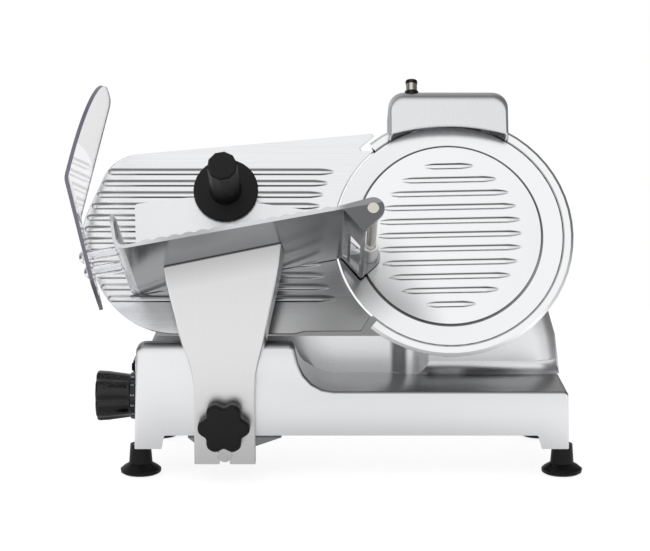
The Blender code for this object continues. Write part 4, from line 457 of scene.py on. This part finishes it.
def rib_shape(across, foot, shoulder):
    """A rib's height over its half width: a steep foot below, a broad crest, a softer top side.

    The foot and the shoulder are soft shares, and the crest falls a little with the square.
    """
    fallen = 0.10
    rise = np.clip((across + 1) / foot, 0, 1)
    fall = np.clip((1 - across) / shoulder, 0, 1)
    return soft(rise) * soft(fall) * (1 - fallen * np.clip(across, -1, 1) ** 2)


def line_mark(across, at, width):
    """A soft line of painted shade at one place of a rib's section: a bell curve, from 0 to 1."""
    return np.exp(-((across - at) / width) ** 2)


def cornered(corners, step=0.06):
    """An outline through corners (x, y, radius), each rounded off by an arc in even steps."""
    runs = []
    count = len(corners)
    for place in range(count):
        here = np.array(corners[place][:2])
        radius = corners[place][2]
        before = np.array(corners[place - 1][:2]) - here
        after = np.array(corners[(place + 1) % count][:2]) - here
        before, after = before / np.linalg.norm(before), after / np.linalg.norm(after)
        opening = np.arccos(np.clip(before @ after, -1, 1))
        bisector = (before + after) / np.linalg.norm(before + after)
        middle = here + bisector * radius / np.sin(opening / 2)
        first = here + before * radius / np.tan(opening / 2) - middle
        side = 1 if before[0] * after[1] - before[1] * after[0] < 0 else -1
        turn = side * np.linspace(0, pi - opening, max(2, int((pi - opening) / step) + 2))
        runs.append(middle + np.column_stack((first[0] * np.cos(turn) - first[1] * np.sin(turn),
                                              first[0] * np.sin(turn) + first[1] * np.cos(turn))))
    return np.concatenate(runs)


def spans(outline, heights):
    """The left and right ends of an outline at each height."""
    x0, y0 = outline[:, 0][:, None], outline[:, 1][:, None]
    x1, y1 = np.roll(outline[:, 0], -1)[:, None], np.roll(outline[:, 1], -1)[:, None]
    level = heights[None, :]
    crossed = (y0 - level) * (y1 - level) <= 0
    rise = np.where(np.abs(y1 - y0) < 1e-9, 1e-9, y1 - y0)
    x = x0 + (x1 - x0) * np.clip((level - y0) / rise, 0, 1)
    return np.where(crossed, x, np.inf).min(0), np.where(crossed, x, -np.inf).max(0)


def spun(profile, turn, shape):
    """Distances along an axis and from it: each row of a profile (along, radius, lobes) goes round.

    The radius is cut by a share of the row's lobes that shape works out from the turn.
    """
    along, size, lobes = (np.array(values)[:, None] for values in zip(*profile))
    reach = shape(size, lobes, turn[None, :])
    return along * np.ones_like(reach), reach


# The pieces

def cover_face():
    """The still disc: rows run straight across it, so its ribs lie along the grid.

    A row at the height R sin(t) spans R cos(t) to each side, then comes back along the flat
    underside. The face falls from its dome with the square of the radius, less a round edge, and
    each rib adds its section times the root of how near its end is. Painted shade darkens it: a
    line below each rib, a fainter one above that darkens at its right tip, and a ring at the disc's
    rim, standing in for the shading and reflections of the ribs and the rim.
    """
    radius, dome, sag, edge, underside = 0.102, 0.0010, 0.0006, 0.0011, -0.0030
    count, pitch, slant, longest, rib_circle = 11, 0.0158, 0.021, 0.079, 0.084
    rib_half, rib_height, section, left_tip, right_tip = 0.0037, 0.0011, (0.30, 0.85), 0.011, 0.013
    lower_line, upper_line, dark_tip = (-0.86, 0.15), (0.58, 0.30), (0.010, 0.008)
    row = np.linspace(-pi / 2, pi / 2, 521)[:, None]
    share = np.sin(np.linspace(-pi / 2, pi / 2, 121))[None, :]
    u, v = radius * np.cos(row) * share, radius * np.sin(row) * np.ones_like(share)
    reach = np.hypot(u, v)
    over = np.clip(reach - (radius - edge), 0, edge)
    n = dome - sag * (reach / radius) ** 2 - (edge - np.sqrt(edge**2 - over**2))
    # mark gathers the painted shade of the ribs and the rim, from 0 to 1.
    mark = np.zeros_like(n)
    for step in range(count):
        middle = (step - (count - 1) / 2) * pitch
        length = longest * sqrt(1 - (middle / rib_circle) ** 2)
        from_left, from_right = u + length, length - u
        nearer = np.minimum(from_left / left_tip, from_right / right_tip)
        size = np.sqrt(np.clip(nearer, 0, 1))
        across = (v - (middle + slant * u)) / (rib_half * (0.22 + 0.78 * size))
        inside = size > 0
        n = n + inside * rib_height * size * rib_shape(across, *section)
        # Painted shade lines below and above each rib, the upper one darker at the rib's right tip.
        upper = 0.45 + 0.50 * line_mark(from_right, *dark_tip)
        upper = upper * np.clip((from_left - 0.004) / 0.022, 0, 1)
        lower = np.clip((from_left - 0.001) / 0.006, 0, 1) * np.clip(from_right / 0.004, 0, 1)
        shade = lower * line_mark(across, *lower_line) + upper * line_mark(across, *upper_line)
        mark = np.maximum(mark, inside * shade)
    # A painted shade ring along the disc's rim.
    mark = np.maximum(mark, np.clip((reach - radius + 0.0013) / 0.0006, 0, 1))
    back = np.linspace(1, -1, 9)[None, :]
    back_u, back_v = radius * np.cos(row) * back, radius * np.sin(row) * np.ones_like(back)
    u, v = np.hstack((u, back_u)), np.hstack((v, back_v))
    n = np.hstack((n, np.full_like(back_u, underside)))
    mark = np.hstack((mark, np.zeros_like(back_u)))
    made("cover_face", woven(in_blade(u, v, n), around=True), [cover_metal],
         "base", ["blade_cover"], crease=np.clip(mark, 0, 1))


def gauge_sheet():
    """The pressed gauge plate: each row of the grid is level and spans the outline at its height.

    Ribs rise slowly from their upper side and fall steeply below, and end on a circle round the
    knife, from which the plate's hollow side keeps its gap.
    """
    top, bottom, right_top, left_top, top_slope = 0.117, -0.112, -0.0827, -0.372, 0.0914
    hollow_radius, face, back_face, edge = 0.127, 0.0006, -0.0034, 0.0010
    count, pitch, rib_circle, left_gap = 12, 0.0132, 0.147, 0.0016
    rib_half, rib_height, section, left_tip, right_tip = 0.0043, 0.0017, (0.34, 1.15), 0.004, 0.014
    lower_line, upper_line, upper_share = (-0.86, 0.15), (0.55, 0.32), 0.42
    left_top_height = top + top_slope * (left_top - right_top)
    corners = [(right_top, top, 0.003), (left_top, left_top_height, 0.045),
               (-0.408, 0.005, 0.060), (-0.365, bottom, 0.095), (-0.170, bottom, 0.004),
               (-0.158, bottom + 0.003, 0.004), (-0.0955, bottom + 0.003, 0.005)]
    turn = np.radians(np.linspace(226.5, 130.5, 60))
    hollow = np.column_stack((hollow_radius * np.cos(turn), hollow_radius * np.sin(turn)))
    notch = np.array([(-0.0960, 0.0965), (-0.0980, 0.1000), (-0.0950, 0.1030)])
    outline = np.concatenate((cornered(corners), [(-0.0944, bottom + 0.0085)], hollow, notch))
    v = np.linspace(outline[:, 1].min() + 1e-6, outline[:, 1].max() - 1e-6, 561)
    left, right = spans(outline, v)
    share = 0.5 - 0.5 * np.cos(np.linspace(0, pi, 111))
    u = left[:, None] + (right - left)[:, None] * share
    v = v[:, None] * np.ones_like(u)
    n = np.full_like(u, face)
    # mark gathers painted shade: a dark line below each rib and a fainter one above it.
    mark = np.zeros_like(u)
    for step in range(count):
        middle = ((count - 1) / 2 - step) * pitch
        end = -sqrt(rib_circle**2 - middle**2)
        begin = spans(outline, np.array([middle]))[0][0] + left_gap
        size = np.clip(np.minimum((end - u) / right_tip, (u - begin) / left_tip), 0, 1) ** 0.55
        across = (v - middle) / (rib_half * (0.35 + 0.65 * size))
        inside = size > 0
        n = n + inside * rib_height * size * rib_shape(across, *section)
        shade = line_mark(across, *lower_line) + upper_share * line_mark(across, *upper_line)
        mark = np.maximum(mark, inside * shade * np.clip(size * 2.2, 0, 1))
    rim = np.minimum(u - left[:, None], right[:, None] - u)
    fallen = edge - np.sqrt(np.clip(edge**2 - (edge - rim) ** 2, 0, None))
    n = n - np.where(rim < edge, fallen, 0) * 0.6
    back = np.linspace(1, 0, 7)
    back_u = left[:, None] + (right - left)[:, None] * back
    u = np.hstack((u, back_u))
    v = np.hstack((v, v[:, :len(back)]))
    n = np.hstack((n, np.full_like(back_u, back_face)))
    mark = np.hstack((mark, np.zeros_like(back_u)))
    made("gauge_sheet", woven(in_blade(u, v, n), around=True), [plate_metal],
         "gauge", ["gauge_plate"], crease=np.clip(mark, 0, 1))


def fence_ridges():
    """Upright ridges on the fence's inner side: a raised cosine along the fence.

    They fade at top and foot and at the end that is far from the knife's plane, and their tops
    follow the fence's cut corner.
    """
    near, far, pitch, foot, face, height = 0.012, 0.184, 0.0182, 0.017, -0.2610, 0.0019
    highest, cut_top, cut_from, cut_slope = 0.0515, 0.0320, 0.191, 0.524
    foot_fade, top_fade, end_fade = 0.006, 0.004, 0.003
    out = np.linspace(near, far, 150)[None, :]
    top = np.minimum(highest, cut_top + (cut_from - out) * cut_slope)
    above = foot + (top - foot) * np.linspace(0, 1, 24)[:, None]
    wave = (0.5 - 0.5 * np.cos((out - near) * 2 * pi / pitch)) ** 1.3
    fade = np.clip((above - foot) / foot_fade, 0, 1) * np.clip((top - above) / top_fade, 0, 1)
    fade = fade * np.clip((far - out) / end_fade, 0, 1)
    along = face + 0.0001 + height * wave * np.sqrt(fade)
    made("fence_ridges", woven(in_tray(along, above, out)), [pusher_metal],
         "carriage")


def guard_sheet():
    """The bent clear sheet: rows climb it through a soft bend, and columns cross both its sides.

    Its height and reach are the running sums of the lean's cosine and sine over the climb, and its
    near and far edges come in by quarter circles at the corners.
    """
    bend, toe_in, thickness, columns_across = (-0.40049, 0.00574), 0.0216, 0.004, 17
    top, bottom, back, front, taper = 0.1365, -0.114, 0.042, 0.190, 0.036
    corner, back_corner, foot_corner = 0.118, 0.009, 0.004
    lean_up, lean_down = radians(12.3), radians(15.2)
    climb = np.concatenate((np.linspace(bottom, -0.006, 40), np.linspace(-0.0055, 0.0055, 12),
                            np.linspace(0.006, top, 90)))
    lean = -lean_down + (lean_up + lean_down) * soft(np.clip(climb / 0.010 + 0.5, 0, 1))
    between = (lean[1:] + lean[:-1]) / 2
    over = np.concatenate(([0], np.cumsum(np.sin(between) * np.diff(climb))))
    up = np.concatenate(([0], np.cumsum(np.cos(between) * np.diff(climb))))
    over, up = over - np.interp(0, climb, over), up - np.interp(0, climb, up)
    short = np.clip((climb - (top - corner)) / corner, 0, 1)
    foot = np.clip((-climb + bottom + foot_corner) / foot_corner, 0, 1)
    near = front - (corner * rounded(short) + foot_corner * rounded(foot)) * 0.999
    round_back = np.clip((climb - (top - back_corner)) / back_corner, 0, 1)
    far = np.where(climb < 0, back + taper * np.clip(climb / bottom, 0, 1),
                   back + back_corner * rounded(round_back))
    n = far[:, None] + (near - far)[:, None] * np.linspace(0, 1, columns_across)
    sides = []
    for offset, order in ((0.0, 1), (thickness, -1)):
        u = bend[0] + over[:, None] - np.cos(lean)[:, None] * offset + toe_in * (n - back)
        v = bend[1] + up[:, None] + np.sin(lean)[:, None] * offset
        sides.append(in_blade(u, v, n)[:, ::order])
    loops = np.concatenate(sides, axis=1)
    places, faces = woven(loops, around=True)
    rows, columns = loops.shape[:2]
    column = np.tile(np.arange(columns), rows - 1)
    is_edge = (column == columns_across - 1) | (column == columns - 1)
    caps = []
    for row in (0, rows - 1):
        first = row * columns + np.arange(columns_across)
        second = row * columns + (columns - 1 - np.arange(columns_across))
        caps.append(np.stack((first[:-1], first[1:], second[1:], second[:-1]), axis=-1))
    caps = np.concatenate(caps)
    made("guard_clear_sheet", (places, np.concatenate((faces, caps))), [guard_face, guard_edge],
         "carriage", ["hand_guard"], sharp=40,
         finish_of=np.concatenate((is_edge, np.ones(len(caps)))))


def thickness_grip():
    """The fluted thickness knob: its profile turned about X, with six hollows round it.

    A hollow is the cosine of six turns, where that is above 0, and deepens toward the free end.
    """
    length, radius, hollow, rim = 0.0460, 0.0275, 0.0026, 0.003
    rows = [(-0.0008, 0.0120, 0), (-0.0008, 0.0255, 0), (-0.0012, 0.0262, 0), (-0.0080, 0.0256, 0),
            (-0.0088, 0.0248, 0), (-0.0094, 0.0240, 0.2)]
    rows += [(-0.0105 - 0.0195 * t, 0.0239 + 0.0026 * t, 0.5 + 0.5 * t)
             for t in np.linspace(0, 1, 8)]
    rows += [(-0.032, radius - 0.0006, 1), (-length + 0.004, radius, 1)]
    rows += [(-length + rim * (1 - sin(t)), radius - rim * (1 - cos(t)), 1)
             for t in np.radians((15, 35, 55, 75, 90))]
    rows += [(-length, radius - 0.006, 0.7), (-length + 0.0012, radius - 0.0075, 0.4),
             (-length + 0.0012, 0.0, 0)]
    turn = np.linspace(0, 2 * pi, 145)[:-1]
    x, reach = spun(rows, turn, lambda size, depth, t: np.where(
        size == 0, 0, size - depth * hollow * np.clip(np.cos(6 * t), 0, 1) ** 1.5))
    points = np.stack((x, reach * np.cos(turn), reach * np.sin(turn)), axis=-1) + DIAL_CENTRE
    made("thickness_grip", woven(points, around=True), [gloss_black],
         "thickness_dial", ["thickness_knob"], sharp=28)


def dial_numbers():
    """White numbers round the knob's skirt, their tops toward the base, bent onto its curve."""
    skirt, bent_to, proud, ahead, spacing, first = 0.02610, 0.0262, 0.00012, -0.0058, 25.0, 2.5
    for number in range(10):
        written = bpy.data.curves.new(f"number_{number}", "FONT")
        written.body = str(number)
        written.size = 0.0054
        written.align_x, written.align_y = "CENTER", "CENTER"
        written.extrude = 0.00008
        holder = bpy.data.objects.new("number", written)
        bpy.context.scene.collection.objects.link(holder)
        mesh = bpy.data.meshes.new_from_object(holder)
        bpy.data.objects.remove(holder)
        places = np.empty(len(mesh.vertices) * 3)
        mesh.vertices.foreach_get("co", places)
        x, y, z = places.reshape(-1, 3).T
        turn = pi + radians((number - first) * spacing) + x / bent_to
        radius = skirt + proud + z
        wrapped = np.column_stack((ahead + y, radius * np.cos(turn), radius * np.sin(turn)))
        mesh.vertices.foreach_set("co", (wrapped + DIAL_CENTRE).ravel())
        mesh.materials.append(white_marks)
        mark = bpy.data.objects.new(f"dial_number_{number}", mesh)
        bpy.context.scene.collection.objects.link(mark)
        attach(mark, "thickness_dial")


def star_grip():
    """The six-lobed knob: its profile turned about Y, with six lobes that are a cosine round it.

    Its edge is a quarter circle, and its face is a little domed.
    """
    full, front, edge, cut = 0.0276, -0.0260, 0.005, 0.20
    rows = [(-0.0003, 0.0, 0), (-0.0003, 0.0110, 0), (-0.0050, 0.0116, 0), (-0.0056, 0.0130, 0.3),
            (-0.0060, 0.0245, 0.9), (-0.0070, 0.0268, 1), (-0.0090, full, 1), (-0.0180, full, 1)]
    rows += [(front + edge * (1 - sin(t)), full - edge * (1 - cos(t)), 1)
             for t in np.radians((0, 18, 36, 54, 72, 90))]
    rows += [(front - 0.0002, full - 0.010, 1), (front - 0.0004, 0.010, 0.6),
             (front - 0.0004, 0.0, 0)]
    turn = np.linspace(0, 2 * pi, 193)[:-1]
    y, reach = spun(rows, turn, lambda size, lobes, t: size * (
        1 - lobes * cut * ((1 - np.cos(6 * t)) / 2) ** 1.6))
    points = np.stack((reach * np.cos(turn), y, reach * np.sin(turn)), axis=-1) + STAR_CENTRE
    made("star_grip", woven(points, around=True), [matte_black],
         "arm_knob", ["star_knob"], sharp=40)


def sharpener_hood():
    """The cover over the knife's top: a rounded doorway outline, carried back from a rolled edge.

    Its front and back are ruled between the outline and the arch below it, and its lower edge
    follows that arch, or the ring guard where it stands over it.
    """
    half, top, corner, roll, side_roll = 0.0665, 0.1605, 0.018, 0.014, 0.0035
    front, back, back_roll, wall = 0.026, -0.036, 0.004, 0.0030
    arch_top, arch_radius = 0.1175, 0.226
    ring_radius, ring_back, ring_front = 0.1376, -0.0276, 0.0016
    hole_u, hole_n, hole_radius, roof = -0.0405, 0.0142, 0.0071, 0.145

    def arch(u):
        """The lower edge's height: a wide circle's, down from its top."""
        return arch_top - arch_radius + np.sqrt(arch_radius**2 - u**2)

    def outline(inset, level):
        """Up one side from its foot, round the corner's quarter circle, along the top and back."""
        side = inset * side_roll / roll
        across = half - side
        radius = corner - side
        over_ring = ring_back <= level <= ring_front
        foot = np.sqrt(ring_radius**2 - across**2) if over_ring else arch(across)
        turn = np.linspace(pi, pi / 2, 17)
        left = np.column_stack((corner - half + radius * np.cos(turn),
                                top - inset + side - corner + radius * np.sin(turn)))
        rise = np.linspace(0, 1, 15)[:-1, None] * (left[0] - (-across, foot)) + (-across, foot)
        level_run = np.linspace(left[-1, 0], 0, 34)[1:]
        level_run = np.column_stack((level_run, np.full(len(level_run), top - inset)))
        half_line = np.concatenate((rise, left, level_run))
        return np.concatenate((half_line, half_line[-2::-1] * (-1, 1)))

    def closing(ring):
        """Rings from the arch out to a ring: the arch is walked as evenly as the ring is."""
        run = np.linalg.norm(np.diff(ring, axis=0), axis=1)
        run = np.concatenate(([0], np.cumsum(run)))
        u = ring[0, 0] * (1 - 2 * run / run[-1])
        lower = np.column_stack((u, arch(u), ring[:, 2]))
        return [ring + (lower - ring) * share for share in np.linspace(1, 0, 19)[:-1]]

    levels = [(roll * (1 - sin(t)), front - roll * (1 - cos(t)))
              for t in np.radians(np.linspace(0, 90, 13))]
    levels += [(0, level) for level in (0.008, ring_front + 0.0001, ring_front, -0.010, ring_back,
                                        ring_back - 0.0001, back + 0.006)]
    levels += [(back_roll * (1 - cos(t)), back + back_roll * (1 - sin(t)))
               for t in np.radians((20, 45, 70, 90))]
    rings = []
    for inset, level in levels:
        line = outline(inset, level)
        rings.append(np.column_stack((line, np.full(len(line), level))))
    grid = np.array(closing(rings[0]) + rings + closing(rings[-1])[::-1])
    places, faces = woven(in_blade(grid[..., 0], grid[..., 1], grid[..., 2]))
    middle = grid.reshape(-1, 3)[faces].mean(1)
    from_hole = np.hypot(middle[:, 0] - hole_u, middle[:, 2] - hole_n)
    in_hole = (from_hole < hole_radius) & (middle[:, 1] > roof)
    piece = made("sharpener_hood", (places, faces[~in_hole]), [sharpener_metal],
                 "base", ["sharpener_cover"], sharp=50)
    shell = piece.modifiers.new("wall", "SOLIDIFY")
    shell.thickness = wall
    shell.offset = -1


def housing_cove():
    """The hollow sweep between the housing's foot and the deck: a quarter circle round the foot."""
    deck, roll, lift, furthest = 0.0960, 0.013, 0.0001, 0.2572
    left, right, front, corner, behind = 0.0700, 0.2600, 0.0330, 0.026, 0.075
    turn = np.linspace(pi, 1.5 * pi, 24)
    far_turn = turn[1:14] + pi / 2
    path = np.concatenate((
        np.column_stack((np.full(8, left), np.linspace(behind, front + corner, 9)[:-1])),
        np.column_stack((left + corner + corner * np.cos(turn),
                         front + corner + corner * np.sin(turn))),
        np.column_stack((np.linspace(left + corner, right - corner, 50)[1:], np.full(49, front))),
        np.column_stack((right - corner + corner * np.cos(far_turn),
                         front + corner + corner * np.sin(far_turn)))))
    along = np.gradient(path, axis=0)
    along /= np.linalg.norm(along, axis=1)[:, None]
    away = np.column_stack((along[:, 1], -along[:, 0]))
    turn = np.linspace(0, pi / 2, 15)
    out, rise = roll * (1 - np.sin(turn)), roll * (1 - np.cos(turn))
    x = np.minimum(path[:, :1] + away[:, :1] * out, furthest)
    y = path[:, 1:] + away[:, 1:] * out
    z = deck + lift + rise[None, :] * np.ones_like(x)
    made("housing_cove", woven(np.stack((x, y, z), axis=-1)), [cast_metal],
         "base")


def housing_boss():
    """The upright bulge at the left of the housing's front: a squared cosine, eased at its top."""
    middle, half, reach, front, sunk = 0.0905, 0.024, 0.0145, 0.0330, 0.0004
    foot, top, easing = 0.0962, 0.182, 0.040
    across = np.linspace(-1, 1, 61)[None, :]
    z = np.linspace(foot, top, 60)[:, None]
    bulge = np.cos(pi / 2 * across) ** 2 * soft(np.clip((top - z) / easing, 0, 1))
    y = front + sunk - reach * bulge
    x = middle + half * across * np.ones_like(z)
    made("housing_boss", woven(np.stack((x, y, z * np.ones_like(x)), axis=-1)), [cast_metal],
         "base")


cover_face()
gauge_sheet()
fence_ridges()
guard_sheet()
thickness_grip()
dial_numbers()
star_grip()
sharpener_hood()
housing_cove()
housing_boss()


# Floor, light and camera

def looked_at(tree, path):
    """One for rays that come from the camera or through clear plastic, else nothing."""
    return maths(tree, "MAXIMUM", path["Is Camera Ray"], path["Is Transmission Ray"])


def sky(key_way, back_way):
    """The white backdrop, and a studio for the metal to reflect, bright in front and dark above.

    A direction's light is the largest of three: a lobe round the key's way, a band along the
    horizon ahead, and a weaker lobe behind. It is less to the right. The first two numbers of
    each are where it starts and where it is full.
    """
    ceiling, front = 0.16, 0.86
    world = bpy.data.worlds.new("studio")
    bpy.context.scene.world = world
    world.use_nodes = True
    tree = world.node_tree
    tree.nodes.clear()
    way = linked(tree, "ShaderNodeTexCoord").outputs["Generated"]
    parts = linked(tree, "ShaderNodeSeparateXYZ", {0: way}).outputs
    key = eased(tree, vectors(tree, "DOT_PRODUCT", way, key_way), 0.66, 0.96)
    band = eased(tree, maths(tree, "ABSOLUTE", parts["Z"]), 0.12, 0.42, 1.0, 0.0)
    horizon = maths(tree, "MULTIPLY", band, eased(tree, parts["Y"], 0.10, -0.35))
    behind = vectors(tree, "DOT_PRODUCT", way, back_way)
    light = maths(tree, "MAXIMUM", maths(tree, "MAXIMUM", key, horizon),
                  eased(tree, behind, 0.50, 0.95, 0.0, 0.62))
    light = maths(tree, "MULTIPLY", light, eased(tree, parts["X"], 0.45, 0.85, 1.0, 0.70))
    mirrored = eased(tree, light, 0.0, 1.0, ceiling, front, "LINEAR")
    seen = looked_at(tree, tree.nodes.new("ShaderNodeLightPath").outputs)
    strength = linked(tree, "ShaderNodeMix", {0: seen, 2: mirrored, 3: 1.0}).outputs[0]
    shown = linked(tree, "ShaderNodeBackground", {"Color": (1, 1, 1, 1), "Strength": strength})
    linked(tree, "ShaderNodeOutputWorld", {0: shown.outputs[0]})


def floor():
    """A pale round floor that keeps the object's shadow, white to the eye and greyer in the metal.

    In the metal its glow goes from grey near the object to pale further off.
    """
    radius, corners, drop, to_eye = 1.1, 96, -0.0002, 0.84
    near, far, grey, pale = 0.22, 0.65, 0.30, 0.90
    turns = np.linspace(0, 2 * pi, corners + 1)[:-1]
    rim = np.column_stack((radius * np.cos(turns), radius * np.sin(turns), np.full(corners, drop)))
    mesh = bpy.data.meshes.new("floor")
    mesh.from_pydata(rim.tolist(), [], [tuple(range(corners))])
    ground = bpy.data.objects.new("floor", mesh)
    bpy.context.scene.collection.objects.link(ground)
    surface = bpy.data.materials.new("white_floor")
    surface.use_nodes = True
    tree = surface.node_tree
    tree.nodes.clear()
    matt = linked(tree, "ShaderNodeBsdfDiffuse", {"Color": (0.50, 0.50, 0.50, 1)})
    place = linked(tree, "ShaderNodeTexCoord").outputs["Object"]
    in_metal = eased(tree, vectors(tree, "LENGTH", place), near, far, grey, pale)
    path = tree.nodes.new("ShaderNodeLightPath").outputs
    glow = maths(tree, "MAXIMUM", maths(tree, "MULTIPLY", path["Is Glossy Ray"], in_metal),
                 maths(tree, "MULTIPLY", looked_at(tree, path), to_eye))
    shine = linked(tree, "ShaderNodeEmission", {"Color": (1, 1, 1, 1), "Strength": glow})
    both = linked(tree, "ShaderNodeAddShader", {0: matt.outputs[0], 1: shine.outputs[0]})
    linked(tree, "ShaderNodeOutputMaterial", {0: both.outputs[0]})
    mesh.materials.append(surface)


def softbox(name, place, target, size, power):
    """A rectangular soft lamp."""
    data = bpy.data.lights.new(name, "AREA")
    data.shape = "RECTANGLE"
    data.size, data.size_y = size
    data.energy = power
    lamp = bpy.data.objects.new(name, data)
    lamp.location = place
    toward = Vector(target) - Vector(place)
    lamp.rotation_euler = toward.to_track_quat("-Z", "Y").to_euler()
    bpy.context.scene.collection.objects.link(lamp)


sky(key_way=tuple(Vector((-0.15, -0.76, 0.64)).normalized()),
    back_way=tuple(Vector((-0.35, 0.70, 0.55)).normalized()))
floor()
softbox("key_softbox", place=(-0.45, -2.28, 1.92), target=(0, 0, 0.2), size=(2.2, 1.8), power=1.8)

CAMERA_DIP = radians(9.10)
view = bpy.data.cameras.new("camera")
view.sensor_width = 36
view.lens = 116.3
camera = bpy.data.objects.new("camera", view)
camera.location = (-0.0039, -2.2643, 0.5733)
camera.rotation_euler = (pi / 2 - CAMERA_DIP, 0, 0)
bpy.context.scene.collection.objects.link(camera)
bpy.context.scene.camera = camera
bpy.context.scene.view_settings.view_transform = "Standard"
